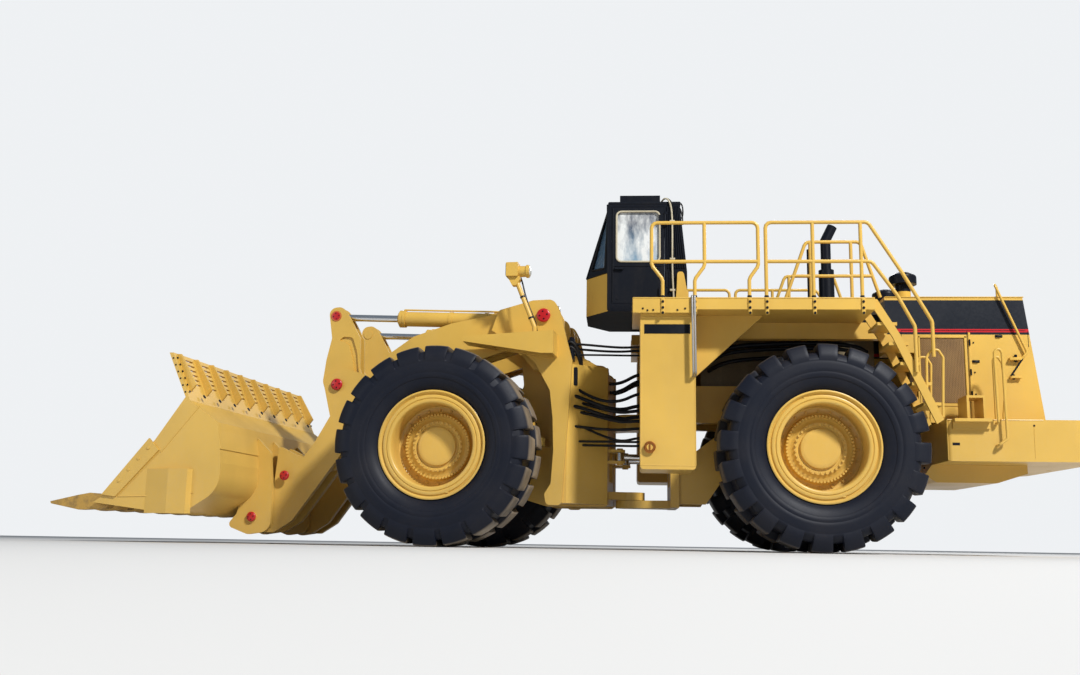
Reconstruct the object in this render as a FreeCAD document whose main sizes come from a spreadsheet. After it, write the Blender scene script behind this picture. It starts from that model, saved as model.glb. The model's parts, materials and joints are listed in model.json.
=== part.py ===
import FreeCAD, Part
import math
import os
import re

# Large articulated wheel loader, full size, in millimetres.
# +X points forward to the bucket, +Y to the machine's left, +Z up.
# Each unit is drawn about the point on the ground under the centre hinge and is then
# shifted so that the row's origin is the bottom centre of the whole machine.

# name, value, what it is
SIZES = [
    ("half_base", 2440, "centre hinge to each axle, along the machine"),
    ("hub_height", 1330, "wheel centres above the ground"),
    ("steer_rest", 5.3, "degrees the front unit is turned to the right at rest"),
    ("wheel_middle", 1650, "machine centre line to the middle plane of a wheel"),
    ("tyre_radius", 1330, "ground to hub at the lugs' tips"),
    ("tyre_half_width", 572, "middle plane to the sidewall"),
    ("lug_depth_rear", 120, "groove depth of the rear tyres"),
    ("lug_depth_front", 80, "groove depth of the front tyres"),
    ("lug_count", 20, "lugs on one side of a tyre"),
    ("flange_radius", 725, "rim flange"),
    ("flange_half", 480, "middle plane to the outside of a rim flange"),
    ("seat_radius", 655, "tyre bead seat on the rim"),
    ("hub_radius", 440, "planetary hub"),
    ("cap_radius", 250, "hub cap"),
    ("hub_face", 177, "middle plane of a wheel to the face of its hub cap"),
    ("spindle_radius", 180, "axle spindle inside the wheel"),
    ("running_gap", 5, "clearance between pieces that move past each other"),
    ("seat_gap", 0.3, "gap left where curved or fitted faces meet"),
    ("axle_radius", 330, "middle of an axle housing"),
    ("axle_end_radius", 240, "outer part of an axle housing"),
    ("axle_end", 1160, "centre line to the end of an axle housing"),

    ("rail_low", 1780, "bottom of the rear frame rails"),
    ("rail_high", 2300, "top of the rear frame rails"),
    ("rail_inner", 420, "centre line to the inside of a rail"),
    ("rail_outer", 620, "centre line to the outside of a rail"),
    ("rail_back", 5000, "hinge to the back end of the rails"),
    ("rail_front", 560, "hinge to the front bulkhead"),
    ("bulkhead", 120, "thickness of the bulkhead"),
    ("hitch_upper", 1820, "middle height of the upper hitch"),
    ("hitch_lower", 700, "middle height of the lower hitch"),
    ("hitch_plate", 110, "thickness of a hitch plate"),
    ("hitch_gap", 6, "gap between hitch plates"),
    ("hitch_radius", 210, "rounded end of a hitch plate"),
    ("hitch_pin", 95, "radius of a hitch pin"),
    ("hanger_thick", 120, "plates that hold the rear axle's trunnion"),
    ("hanger_spread", 470, "rear axle centre to each hanger plate"),
    ("trunnion_radius", 190, "trunnion under the rear frame"),

    ("weight_front", 4080, "hinge to the front face of the counterweight"),
    ("weight_back", 6060, "hinge to the back face of the counterweight"),
    ("weight_low", 1200, "bottom of the counterweight"),
    ("weight_high", 1740, "top of the counterweight"),
    ("weight_half", 1680, "half the counterweight's width"),
    ("tow_bore", 40, "radius of the tow pin bore"),
    ("tow_slot", 200, "height of the tow slot"),

    ("hood_front", 3490, "hinge to the front of the hood"),
    ("hood_top_back", 5345, "hinge to the hood's top rear edge"),
    ("hood_low_back", 5560, "hinge to the hood's bottom rear edge"),
    ("hood_top", 3500, "top of the hood"),
    ("hood_low", 1760, "bottom of the hood"),
    ("hood_half", 1060, "half the hood's width"),
    ("hood_wall", 30, "thickness of the hood's walls"),
    ("hood_recess", 14, "depth of the screen panel in the hood's side"),
    ("hood_step", 3900, "hinge to where the hood drops behind the wheel"),
    ("hood_step_low", 2720, "underside of the hood ahead of that step"),

    ("engine_front", 1000, "hinge to the front of the engine"),
    ("engine_back", 3440, "hinge to the back of the engine"),
    ("engine_half", 520, "half the engine's width"),
    ("engine_top", 3080, "top of the engine"),

    ("deck_high", 3270, "walking surface of the decks"),
    ("deck_thick", 160, "depth of a deck's edge"),
    ("deck_front", 20, "hinge to the front edge of the decks"),
    ("deck_back", 3140, "hinge to the back edge of the decks"),
    ("deck_inner", 660, "centre line to the inner edge of a deck"),
    ("deck_outer", 2080, "centre line to the outer edge of a deck"),
    ("nose_back", 810, "hinge to the back of a deck's thick front block"),
    ("nose_thick", 205, "depth of that block"),

    ("tank_front", 120, "hinge to the front of a side tank"),
    ("tank_back", 830, "hinge to the back of a side tank"),
    ("tank_low", 1030, "bottom of a side tank"),
    ("tank_inner", 1140, "centre line to the inside of a tank"),
    ("tank_outer", 2000, "centre line to the outside of a tank"),

    ("rail_top", 4290, "top handrail"),
    ("rail_mid", 3760, "middle handrail"),
    ("tube_radius", 24, "handrail tube"),
    ("tube_bend", 75, "middle radius of the handrails' bends"),
    ("grip_radius", 17, "tube of the grab rails by the steps"),

    ("cab_back", 790, "hinge to the back wall of the cab"),
    ("cab_top_back", 690, "hinge to the top edge of that wall, which leans forward"),
    ("cab_front", 320, "centre of the hinge to the front pillars"),
    ("cab_nose", 640, "hinge to the front of the cab's nose"),
    ("cab_bevel", 430, "how far in the nose's corners are cut off, across the machine"),
    ("cab_left", 1010, "centre line to the cab's left wall"),
    ("cab_right", -560, "centre line to the cab's right wall"),
    ("cab_low", 3300, "bottom of the cab's floor"),
    ("cab_sill", 3870, "bottom of the windscreen"),
    ("cab_high", 4880, "top of the cab's walls"),
    ("cab_wall", 50, "thickness of the cab's walls"),
    ("door_back", 470, "hinge to the rear edge of the cab door"),
    ("door_front", 270, "hinge to the front edge of the cab door"),
    ("door_low", 3420, "bottom of the cab door"),
    ("door_high", 4820, "top of the cab door"),
    ("door_frame", 65, "frame round the door's window"),
    ("door_window", 4020, "bottom of the door's window"),
    ("window_bend", 70, "rounding of the door window's corners"),
    ("pane", 8, "thickness of a window pane"),

    ("boom_x", 1130, "hinge to the lift arms' pivot"),
    ("boom_z", 3240, "height of the lift arms' pivot"),
    ("tilt_x", 1580, "hinge to the tilt cylinders' rear pin"),
    ("tilt_z", 3230, "height of that pin"),
    ("lever_x", 4170, "hinge to the tilt levers' pivot"),
    ("lever_z", 2290, "height of that pivot"),
    ("head_x", 4280, "hinge to the pin at the top of the levers"),
    ("head_z", 3330, "height of that pin"),
    ("foot_x", 3350, "hinge to the pin at the foot of the levers"),
    ("foot_z", 1500, "height of that pin"),
    ("link_x", 4870, "hinge to the links' pin in the bucket"),
    ("link_z", 970, "height of that pin"),
    ("bucket_x", 5320, "hinge to the bucket's hinge pins"),
    ("bucket_z", 380, "height of those pins"),
    ("lift_base_x", 1420, "hinge to the lift cylinders' lower pin"),
    ("lift_base_z", 1700, "height of that pin"),
    ("lift_head_x", 3300, "hinge to the lift cylinders' pin in the arms"),
    ("lift_head_z", 2250, "height of that pin"),

    ("tower_outer", 1030, "centre line to the inside of a tower's outer plate"),
    ("tower_plate", 70, "thickness of that plate"),
    ("tower_inner", 400, "centre line to a tower's inner plate"),
    ("inner_plate", 90, "thickness of the inner plate"),
    ("arm_outer", 900, "centre line to the outer arm slab"),
    ("arm_inner", 520, "centre line to the inner arm slab"),
    ("slab", 100, "thickness of an arm slab"),
    ("lever_mid", 760, "centre line to the plane of levers and cylinders"),
    ("cheek_space", 140, "gap between the two plates of a lever"),
    ("cheek", 50, "thickness of a lever's plate"),
    ("eye_width", 120, "width of rod eyes and links"),
    ("pin_radius", 90, "large pins"),
    ("small_pin", 70, "pins of levers and cylinders"),
    ("pin_slack", 1, "radial clearance at pins"),

    ("tilt_barrel_radius", 108, "tilt cylinder barrel"),
    ("tilt_rod_radius", 50, "tilt cylinder rod"),
    ("tilt_eye", 140, "width of the tilt cylinders' base eyes"),
    ("lift_eye", 180, "width of the lift cylinders' base eyes"),
    ("nose_radius", 215, "arm nose round the bucket pin"),
    ("tilt_gland", 1750, "tilt pin to the front of the barrel"),
    ("lift_barrel_radius", 120, "lift cylinder barrel"),
    ("lift_rod_radius", 62, "lift cylinder rod"),
    ("lift_gland", 1720, "lift pin to the front of the barrel"),

    ("bucket_half", 2350, "half the bucket's width"),
    ("bucket_wall", 60, "thickness of the bucket's plates"),
    ("side_cutter", 30, "thickness of the cutters on the bucket's side edges"),
    ("ear_outer", 1010, "centre line to the bucket's outer hinge ear"),
    ("ear_inner", 430, "centre line to the bucket's inner hinge ear"),
    ("ear", 80, "thickness of a bucket ear"),
    ("guard_ribs", 10, "ribs on the spill guard"),
    ("guard_slots", 6, "rows of slots in the spill guard"),
    ("slot_high", 26, "height of a slot in the spill guard"),
    ("tooth_count", 9, "bucket teeth"),
    ("tooth_half", 75, "half the width of a tooth"),

    ("steer_base_x", 1150, "hinge to the steering cylinders' rear pin"),
    ("steer_base_y", 330, "centre line to that pin"),
    ("steer_head_x", 110, "hinge to the steering cylinders' front pin"),
    ("steer_head_y", 430, "centre line to that pin"),
    ("steer_z", 1300, "height of the steering cylinders"),
    ("steer_barrel_radius", 85, "steering cylinder barrel"),
    ("steer_rod_radius", 42, "steering cylinder rod"),
    ("steer_gland", 850, "rear pin to the front of the barrel"),
    ("steer_piston", 500, "rear pin to the inner end of the rod"),
    ("steer_pin", 45, "pins of the steering cylinders"),
    ("steer_eye", 110, "height of the steering cylinders' eyes"),
    ("steer_window", 545, "centre line to the side of the cylinders' window in the bulkhead"),
]

V = FreeCAD.Vector
doc = FreeCAD.newDocument("wheel_loader")
sheet = doc.addObject("Spreadsheet::Sheet", "Sizes")
NAMES = set()


class Values:
    """The driving sizes by name, for the shapes that are worked out in code."""


size = Values()


def enter(name, value, meaning, row):
    """Write one size into the sheet and give its cell the size's name."""
    sheet.set("A%d" % row, name)
    sheet.set("B%d" % row, repr(value))
    sheet.set("C%d" % row, meaning)
    sheet.setAlias("B%d" % row, name)
    setattr(size, name, float(value))
    NAMES.add(name)


for row, (name, value, meaning) in enumerate(SIZES, 1):
    enter(name, value, meaning, row)
enter("centre_x", 0, "hinge to the middle of the machine, worked out below", len(SIZES) + 1)
enter("centre_y", 0, "sideways distance of that middle, worked out below", len(SIZES) + 2)
doc.recompute()


# Small helpers

def cells(text):
    """A formula on size names, as an expression on the sheet's cells."""
    return re.sub(r"[a-z][a-z_0-9]*",
                  lambda word: "Sizes." + word.group(0) if word.group(0) in NAMES else word.group(0),
                  text)


def bind(thing, **formulas):
    """Bind properties to formulas; an underscore pair in a name stands for a dot."""
    for prop, formula in formulas.items():
        thing.setExpression(prop.replace("__", "."), cells(str(formula)))
    return thing


counter = {}


def add(kind, name):
    counter[name] = counter.get(name, 0) + 1
    return doc.addObject(kind, "%s_%d" % (name, counter[name]))


def block(name, x, y, z):
    """A box between pairs of formulas."""
    box = add("Part::Box", name)
    return bind(box, Length="(%s) - (%s)" % (x[1], x[0]), Width="(%s) - (%s)" % (y[1], y[0]),
                Height="(%s) - (%s)" % (z[1], z[0]), Placement__Base__x=x[0],
                Placement__Base__y=y[0], Placement__Base__z=z[0])


TURN = {"x": FreeCAD.Rotation(V(0, 1, 0), 90), "y": FreeCAD.Rotation(V(1, 0, 0), -90),
        "z": FreeCAD.Rotation()}


def rod(name, radius, axis, start, end, other):
    """A cylinder along an axis from start to end; other gives its two cross coordinates."""
    piece = add("Part::Cylinder", name)
    piece.Placement.Rotation = TURN[axis]
    cross = [letter for letter in "xyz" if letter != axis]
    places = {axis: start, cross[0]: other[0], cross[1]: other[1]}
    return bind(piece, Radius=radius, Height="(%s) - (%s)" % (end, start),
                Placement__Base__x=places["x"], Placement__Base__y=places["y"],
                Placement__Base__z=places["z"])


def corner_wire(corners, plane):
    """A closed wire of lines, with a tangent arc at each corner that has a radius."""
    put = {"xz": lambda a, b: V(a, 0, b), "xy": lambda a, b: V(a, b, 0),
           "yz": lambda a, b: V(0, a, b)}[plane]
    spots = [put(corner[0], corner[1]) for corner in corners]
    bends = []
    for index, corner in enumerate(corners):
        here = spots[index]
        radius = corner[2] if len(corner) > 2 else 0
        if not radius:
            bends.append((here, None, here))
            continue
        back = (spots[index - 1] - here).normalize()
        ahead = (spots[(index + 1) % len(spots)] - here).normalize()
        half = back.getAngle(ahead) / 2
        middle = (back + ahead).normalize()
        centre = here + middle * (radius / math.sin(half))
        reach = radius / math.tan(half)
        bends.append((here + back * reach, centre - middle * radius, here + ahead * reach))
    edges = []
    for index, (start, top, end) in enumerate(bends):
        if top is not None:
            edges.append(Part.Arc(start, top, end).toShape())
        after = bends[(index + 1) % len(bends)][0]
        if end.distanceToPoint(after) > 1e-6:
            edges.append(Part.LineSegment(end, after).toShape())
    return Part.Wire(edges)


def outline(name, corners, plane="xz"):
    shape = add("Part::Feature", name + "_outline")
    shape.Shape = corner_wire(corners, plane)
    return shape


AXIS = {"xz": V(0, 1, 0), "xy": V(0, 0, 1), "yz": V(1, 0, 0)}
LETTER = {"xz": "y", "xy": "z", "yz": "x"}


def slab(name, corners, low, thick, plane="xz"):
    """A flat plate: an outline drawn out square to its plane from low, as thick as thick."""
    plate = add("Part::Extrusion", name)
    plate.Base = outline(name, corners, plane)
    plate.DirMode = "Custom"
    plate.Dir = AXIS[plane]
    plate.Solid = True
    return bind(plate, LengthFwd=thick, **{"Placement__Base__" + LETTER[plane]: low})


def turned(name, corners):
    """A solid of revolution about the Y axis; corners are (along the axis, radius, arc)."""
    ring = add("Part::Revolution", name)
    ring.Source = outline(name, corners, "yz")
    ring.Axis = V(0, 1, 0)
    ring.Base = V(0, 0, 0)
    ring.Angle = 360
    ring.Solid = True
    return ring


def solid(name, shape):
    piece = add("Part::Feature", name)
    piece.Shape = shape
    return piece


def fuse(name, *pieces):
    """Join pieces into one; a single piece is only wrapped, so that it keeps its own place."""
    if len(pieces) == 1:
        whole = add("Part::Compound", name)
        whole.Links = list(pieces)
    else:
        whole = add("Part::MultiFuse", name)
        whole.Shapes = list(pieces)
    return whole


def cut(name, base, *tools):
    left = add("Part::Cut", name)
    left.Base = base
    left.Tool = tools[0] if len(tools) == 1 else fuse(name + "_tools", *tools)
    return left


def mirrored(name, piece):
    """The same piece on the other side of the centre line."""
    twin = add("Part::Mirroring", name)
    twin.Source = piece
    twin.Normal = V(0, 1, 0)
    return twin


def pair(name, piece):
    return fuse(name, piece, mirrored(name + "_right", piece))


def point(name):
    """A named pin's place in the side view."""
    return V(getattr(size, name + "_x"), 0, getattr(size, name + "_z"))


def along(radius, length, base, direction):
    return Part.makeCylinder(radius, length, base, direction)


def bent_path(path, bend):
    """The path with short runs on an arc of the bend's radius in place of each sharp corner."""
    points = [path[0]]
    for before, here, after in zip(path[:-2], path[1:-1], path[2:]):
        back = (before - here).normalize()
        ahead = (after - here).normalize()
        half = back.getAngle(ahead) / 2
        turn = math.pi - 2 * half
        centre = here + (back + ahead).normalize() * (bend / math.sin(half))
        start = here + back * (bend / math.tan(half)) - centre
        end = here + ahead * (bend / math.tan(half)) - centre
        runs = max(1, round(turn / 0.5))
        for step in range(runs + 1):
            share = step / runs
            spot = start * math.sin((1 - share) * turn) + end * math.sin(share * turn)
            points.append(centre + spot * (1 / math.sin(turn)))
    return points + [path[-1]]


def pipe(radius, path, bend=0):
    """A tube through the path's points, with mitred corners or with bends of one radius."""
    if bend:
        path = bent_path(path, bend)
    wire = Part.makePolygon(path)
    first = path[1] - path[0]
    ring = Part.Wire([Part.Circle(path[0], first, radius).toShape()])
    return wire.makePipeShell([ring], True, False, 1)


NODES = {}


def node(label, piece, unit):
    """Name a finished sub-part and place it with its unit."""
    piece.Label = label
    bind(piece, Placement__Base__x="-centre_x", Placement__Base__y="-centre_y")
    if unit == "front":
        piece.Placement.Rotation = FreeCAD.Rotation(V(0, 0, 1), -size.steer_rest)
        bind(piece, Placement__Rotation__Angle="-steer_rest * 1deg")
    NODES[label] = piece
    return piece


# Rear unit

def rear_frame():
    """Two rails, the hitch fork with its pins, axle hangers and tank brackets."""
    rails = pair("rails", block("rail", ("-rail_back", "-rail_front"),
                                ("rail_inner", "rail_outer"), ("rail_low", "rail_high")))
    wall = block("bulkhead", ("-rail_front - bulkhead", "-rail_front"),
                 ("-rail_outer", "rail_outer"), ("hitch_lower - hitch_plate", "rail_high"))
    windows = [block("shaft_window", ("-rail_front - 2 * bulkhead", "-rail_front + bulkhead"),
                     ("-240", "240"), ("900", "1650")),
               block("steer_window", ("-rail_front - 2 * bulkhead", "-rail_front + bulkhead"),
                     ("-steer_window", "steer_window"), ("steer_z - 150", "steer_z + 150"))]
    pieces = [rails, cut("bulkhead", wall, *windows)]
    for name, side in (("hitch_upper", 1), ("hitch_lower", -1)):
        low = "%s - hitch_plate / 2 + %d * (hitch_plate + hitch_gap) / 2" % (name, side)
        tip = size.hitch_radius
        pieces.append(slab(name, [(-size.rail_front - 10, -330), (-60, -tip), (tip, -tip, tip * 0.9),
                                  (tip, tip, tip * 0.9), (-60, tip), (-size.rail_front - 10, 330)],
                           low, "hitch_plate", "xy"))
        pieces.append(rod("hitch_pin", "hitch_pin", "z", name + " - hitch_plate - hitch_gap",
                          name + " + hitch_plate + hitch_gap", ("0", "0")))
    pieces.append(block("cross_member", ("-3900", "-3700"), ("-rail_inner - 10", "rail_inner + 10"),
                        ("rail_low + 60", "rail_high - 60")))
    front = -size.rail_front - size.bulkhead / 2
    belly = slab("belly_rail", [(front, 640), (front, 1150), (-1500, size.rail_low + 40),
                                (-1900, size.rail_low + 40), (-1300, 1000), (-1050, 640)],
                 "510", "80")
    pieces.append(pair("belly_rails", belly))
    pieces.append(pair("steer_seats", steer_bracket("steer_seat", -size.steer_base_x, size.steer_base_y,
                                                    (-size.steer_base_x, 560), True)))
    for side in (-1, 1):
        place = "-half_base + %d * hanger_spread - hanger_thick / 2" % side
        plate = slab("hanger", [(-600, size.rail_low + 30), (600, size.rail_low + 30),
                                (300, 1080, 120), (-300, 1080, 120)], place, "hanger_thick", "yz")
        hole = rod("hanger_hole", "trunnion_radius + seat_gap", "x", place + " - 10",
                   place + " + hanger_thick + 10", ("0", "hub_height"))
        pieces.append(cut("hanger", plate, hole))
    pads = block("weight_pad", ("-rail_back + 40", "-weight_front - 120"), ("rail_inner", "rail_outer"),
                 ("weight_high + seat_gap", "rail_low + 10"))
    pieces.append(pair("weight_pads", pads))
    shelves = [block("tank_bracket", ("-760", "-rail_front - bulkhead / 2"),
                     ("rail_outer - 30", "tank_inner"), (str(low), str(low + 200)))
               for low in (1840, 2060)]
    pieces.append(pair("tank_brackets", fuse("tank_bracket_side", *shelves)))
    return fuse("rear_frame", *pieces)


def steer_bracket(name, x, y, root, through):
    """Two plates above and below a steering cylinder's eye, with its pin or two pin caps."""
    reach = 75
    dx, dy = root[0] - x, root[1] - y
    length = math.hypot(dx, dy)
    ux, uy = dx / length, dy / length
    corners = [(root[0] - uy * 110, root[1] + ux * 110),
               (x - ux * reach - uy * reach, y - uy * reach + ux * reach, 70),
               (x - ux * reach + uy * reach, y - uy * reach - ux * reach, 70),
               (root[0] + uy * 110, root[1] - ux * 110)]
    half = "(steer_eye / 2 + running_gap)"
    plates = [slab(name, corners, "steer_z + " + half, "40", "xy"),
              slab(name, corners, "steer_z - 40 - " + half, "40", "xy")]
    place = (str(x), str(y))
    if through:
        pins = [rod(name + "_pin", "steer_pin", "z", "steer_z - 60 - " + half,
                    "steer_z + 60 + " + half, place)]
    else:
        pins = [rod(name + "_pin", "steer_pin", "z", "steer_z - 60 - " + half,
                    "steer_z - 2 - " + half, place),
                rod(name + "_pin", "steer_pin", "z", "steer_z + 2 + " + half,
                    "steer_z + 60 + " + half, place)]
    return fuse(name + "_whole", *plates, *pins)


def axle(name, middle, trunnion):
    """An axle housing: middle bowl, tapered arms, spindles, and a trunnion or a nose."""
    end = size.wheel_middle - 118
    bore = size.spindle_radius
    housing = turned(name, [
        (-end, 0), (-end, bore), (-size.axle_end, bore), (-size.axle_end, size.axle_end_radius),
        (-760, size.axle_end_radius), (-510, size.axle_radius), (510, size.axle_radius),
        (760, size.axle_end_radius), (size.axle_end, size.axle_end_radius), (size.axle_end, bore),
        (end, bore), (end, 0)])
    bind(housing, Placement__Base__x=middle, Placement__Base__z="hub_height")
    if trunnion:
        reach = ("%s - hanger_spread - hanger_thick / 2" % middle,
                 "%s + hanger_spread + hanger_thick / 2" % middle)
    else:
        reach = ("%s - 640" % middle, middle)
    shaft = rod(name + "_shaft", "trunnion_radius", "x", reach[0], reach[1], ("0", "hub_height"))
    return fuse(name, housing, shaft)


def counterweight():
    """The cast weight behind the rear axle, with a slot and bore for a tow pin."""
    low, high, half = size.weight_low, size.weight_high, size.weight_half
    front, back = -size.weight_front, -size.weight_back
    body = slab("weight", [(front, -half, 60), (front, half, 60), (back + 250, half, 220),
                           (back, half - 420, 160), (back, 420 - half, 160),
                           (back + 250, -half, 220)], "weight_low", "weight_high - weight_low", "xy")
    slot = block("tow_slot", ("-weight_back - 10", "-weight_back + 260"), ("-150", "150"),
                 ("(weight_low + weight_high - tow_slot) / 2", "(weight_low + weight_high + tow_slot) / 2"))
    bore = rod("tow_bore", "tow_bore", "z", "weight_low - 10", "weight_high + 10",
               ("-weight_back + 130", "0"))
    return cut("counterweight", body, slot, bore)


def belly_guard():
    """Plate under the radiator, hung from the counterweight."""
    top = size.weight_low - size.seat_gap
    plate = slab("belly_guard", [(-3950, 1060), (-4050, top), (-5300, top), (-5300, 1090),
                                 (-4900, 960, 80), (-4100, 960, 80)], "-1000", "2000")
    return fuse("belly_guard", plate)


def hood_corners(inset):
    """The hood's side view, drawn in by inset on every side."""
    slope = (size.hood_low_back - size.hood_top_back) / (size.hood_top - size.hood_low)
    top, low = size.hood_top - inset, size.hood_low - inset
    back_top = -size.hood_top_back + inset + slope * inset
    back_low = -size.hood_low_back + inset - slope * inset
    step = size.hood_step_low + inset
    return [(-size.hood_front - inset, top), (back_top, top), (back_low, low),
            (-size.hood_step - inset, low), (-size.hood_step - inset, step),
            (-size.hood_front - inset, step)]


def hood():
    """Sheet cover of the radiator and the rear of the engine, open below and at the grille."""
    outer = slab("hood_outer", hood_corners(0), "-hood_half", "2 * hood_half")
    inner = slab("hood_inner", hood_corners(size.hood_wall), "-hood_half + hood_wall",
                 "2 * (hood_half - hood_wall)")
    low = block("hood_open", ("-hood_low_back - 200", "-hood_step - hood_wall"),
                ("-hood_half + hood_wall", "hood_half - hood_wall"), ("hood_low - 50", "hood_low + 50"))
    grille = block("grille_open", ("-hood_low_back - 200", "-hood_top_back + 250"),
                   ("-hood_half + 140", "hood_half - 140"), ("hood_low + 260", "hood_top - 160"))
    front = block("hood_mouth", ("-hood_step - 2 * hood_wall", "-hood_front + 50"),
                  ("-rail_outer - seat_gap", "rail_outer + seat_gap"), ("rail_low", "engine_top + 10"))
    recess = block("hood_recess", ("-4540", "-hood_step - 40"), ("hood_half - hood_recess", "hood_half + 10"),
                   ("2020", "2930"))
    return cut("hood", outer, inner, low, grille, front, pair("hood_recesses", recess))


def grille_slant(height):
    """How far back the hood's rear face lies at a height."""
    share = (size.hood_top - height) / (size.hood_top - size.hood_low)
    return -size.hood_top_back - share * (size.hood_low_back - size.hood_top_back)


def radiator_grille():
    """Frame and slats that fill the hood's rear opening."""
    low, high = size.hood_low + 260, size.hood_top - 160
    half = size.hood_half - 140
    def sheet_between(near, far, bottom, top):
        return [(grille_slant(bottom) + near, bottom), (grille_slant(top) + near, top),
                (grille_slant(top) + far, top), (grille_slant(bottom) + far, bottom)]
    gap = size.seat_gap
    outer = slab("grille", sheet_between(10, 70, low + gap, high - gap),
                 str(gap - half), str(2 * (half - gap)))
    holes = []
    rows = 9
    step = (high - low - 60) / rows
    for row in range(rows):
        bottom = low + 60 + row * step
        holes.append(slab("grille_hole", sheet_between(-20, 100, bottom, bottom + step - 50),
                          str(60 - half), str(2 * half - 120)))
    return cut("radiator_grille", outer, *holes)


def engine_block():
    return fuse("engine_block", block("engine", ("-engine_back", "-engine_front"),
                                      ("-engine_half", "engine_half"),
                                      ("rail_high + seat_gap", "engine_top")))


def engine_cover():
    """Flat cover between the decks."""
    return fuse("engine_cover", block("cover", ("-hood_front + seat_gap", "-engine_front + 140"),
                                      ("-deck_inner + seat_gap", "deck_inner - seat_gap"),
                                      ("engine_top + seat_gap", "deck_high + 60")))


def decks():
    """Walkways on both sides, each with a thick front block, a beam and a gusset."""
    plate = block("deck", ("-deck_back", "-deck_front"), ("deck_inner", "deck_outer"),
                  ("deck_high - deck_thick", "deck_high"))
    nose = block("deck_nose", ("-nose_back", "-deck_front"), ("tank_inner", "deck_outer"),
                 ("deck_high - nose_thick", "deck_high"))
    beam = block("deck_beam", ("-hood_front + seat_gap", "-tank_back - seat_gap"), ("1000", "1150"),
                 ("deck_high - deck_thick - 220", "deck_high - deck_thick + 10"))
    gusset = slab("gusset", [(-size.tank_back - 0.3, deck_low() + 5), (-1760, deck_low() + 5),
                             (-size.tank_back - 0.3, 2260)], "1560", "80")
    return pair("decks", fuse("deck_side", plate, nose, beam, gusset))


def deck_low():
    return size.deck_high - size.deck_thick


def tanks():
    shape = slab("tank", [(-size.tank_front, size.tank_low, 40),
                          (-size.tank_front, size.deck_high - size.nose_thick - 0.3),
                          (-size.tank_back, size.deck_high - size.nose_thick - 0.3),
                          (-size.tank_back, size.tank_low, 40)],
                 "tank_inner + seat_gap", "tank_outer - tank_inner")
    cap = rod("filler", "58", "y", "tank_outer - 10", "tank_outer + 45", ("-240", "1310"))
    return pair("tanks", fuse("tank_side", shape, cap))


def handrails():
    """Bent tube guards round both decks."""
    top, mid = size.rail_top, size.rail_mid
    edge = size.deck_outer - 40
    foot = size.deck_high + size.seat_gap
    radius = size.tube_radius
    front = -265
    runs = [[V(front - 145, edge, foot), V(front - 145, edge, 3520), V(front, edge, mid - 50),
             V(front, edge, top), V(-1660, edge, top), V(-1660, edge, mid - 60),
             V(-1540, edge, mid - 230), V(-1540, edge, foot)],
            [V(front, edge, mid), V(-1660, edge, mid)],
            [V(-960, edge, top), V(-960, edge, mid - 60), V(-830, edge, mid - 240), V(-830, edge, foot)],
            [V(-1760, edge, foot), V(-1760, edge, top), V(-3090, edge, top), V(-3510, edge, 3600),
             V(-3860, edge, 2960), V(-3860, edge, 2500)],
            [V(-1760, edge, mid), V(-3120, edge, mid), V(-3430, edge, 3310), V(-3640, edge, 2900),
             V(-3640, edge, 2300)],
            [V(-2370, edge, foot), V(-2370, edge, top)], [V(-2990, edge, foot), V(-2990, edge, top)],
            [V(-2120, 1040, foot), V(-2120, 1040, foot + 130), V(-2440, 1040, top), V(-3190, 1040, top),
             V(-3440, 1040, 3495)],
            [V(-2240, 1040, mid + 40), V(-3330, 1040, mid + 40)],
            [V(-2500, 1040, foot), V(-2500, 1040, top)], [V(-3060, 1040, foot), V(-3060, 1040, top)]]
    tubes = [pipe(radius, run, size.tube_bend) for run in runs]
    whole = tubes[0].multiFuse(tubes[1:])
    beside = size.hood_half + size.seat_gap
    hood_grip = pipe(size.grip_radius, [V(-5030, 1000, size.hood_top + size.seat_gap), V(-5030, 1000, 3640),
                                        V(-4960, 1110, 3680), V(-5350, 1110, 2720), V(-5280, 1110, 2640),
                                        V(-5280, beside, 2640)], size.grip_radius * 2.2)
    return pair("handrails", solid("handrail_side", Part.makeCompound([whole, hood_grip])))


def stairs():
    """Rear steps from the ground side of the counterweight up to each deck."""
    pieces = []
    for low in (1380, 1980):
        back = -size.deck_back - size.seat_gap
        pieces.append(slab("stringer", [(back, size.deck_high - 10), (back - 40, size.deck_high - 10),
                                        (-3460, 2790), (-3960, 1700), (-3870, 1640), (-3360, 2760),
                                        (back, size.deck_high - 150)], str(low), "35"))
    for share in (0.1, 0.3, 0.5, 0.7, 0.9):
        x = -3200 - share * 680
        z = size.deck_high - 200 - share * 1300
        pieces.append(block("tread", (str(x - 160), str(x + 90)), ("1410", "1990"),
                            (str(z - 20), str(z + 20))))
    grip = [V(-3770, 0, 2090), V(-3780, 0, 2500), V(-3850, 0, 2600), V(-3930, 0, 2600), V(-3990, 0, 2500),
            V(-3955, 0, 1730)]
    for y in (1400, 1990):
        pieces.append(solid("stair_grip", pipe(size.grip_radius, [spot + V(0, y, 0) for spot in grip],
                                               size.grip_radius * 2.2)))
    return pair("stairs", fuse("stair_sides", fuse("stair_side", *pieces), *weight_steps()))


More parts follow.
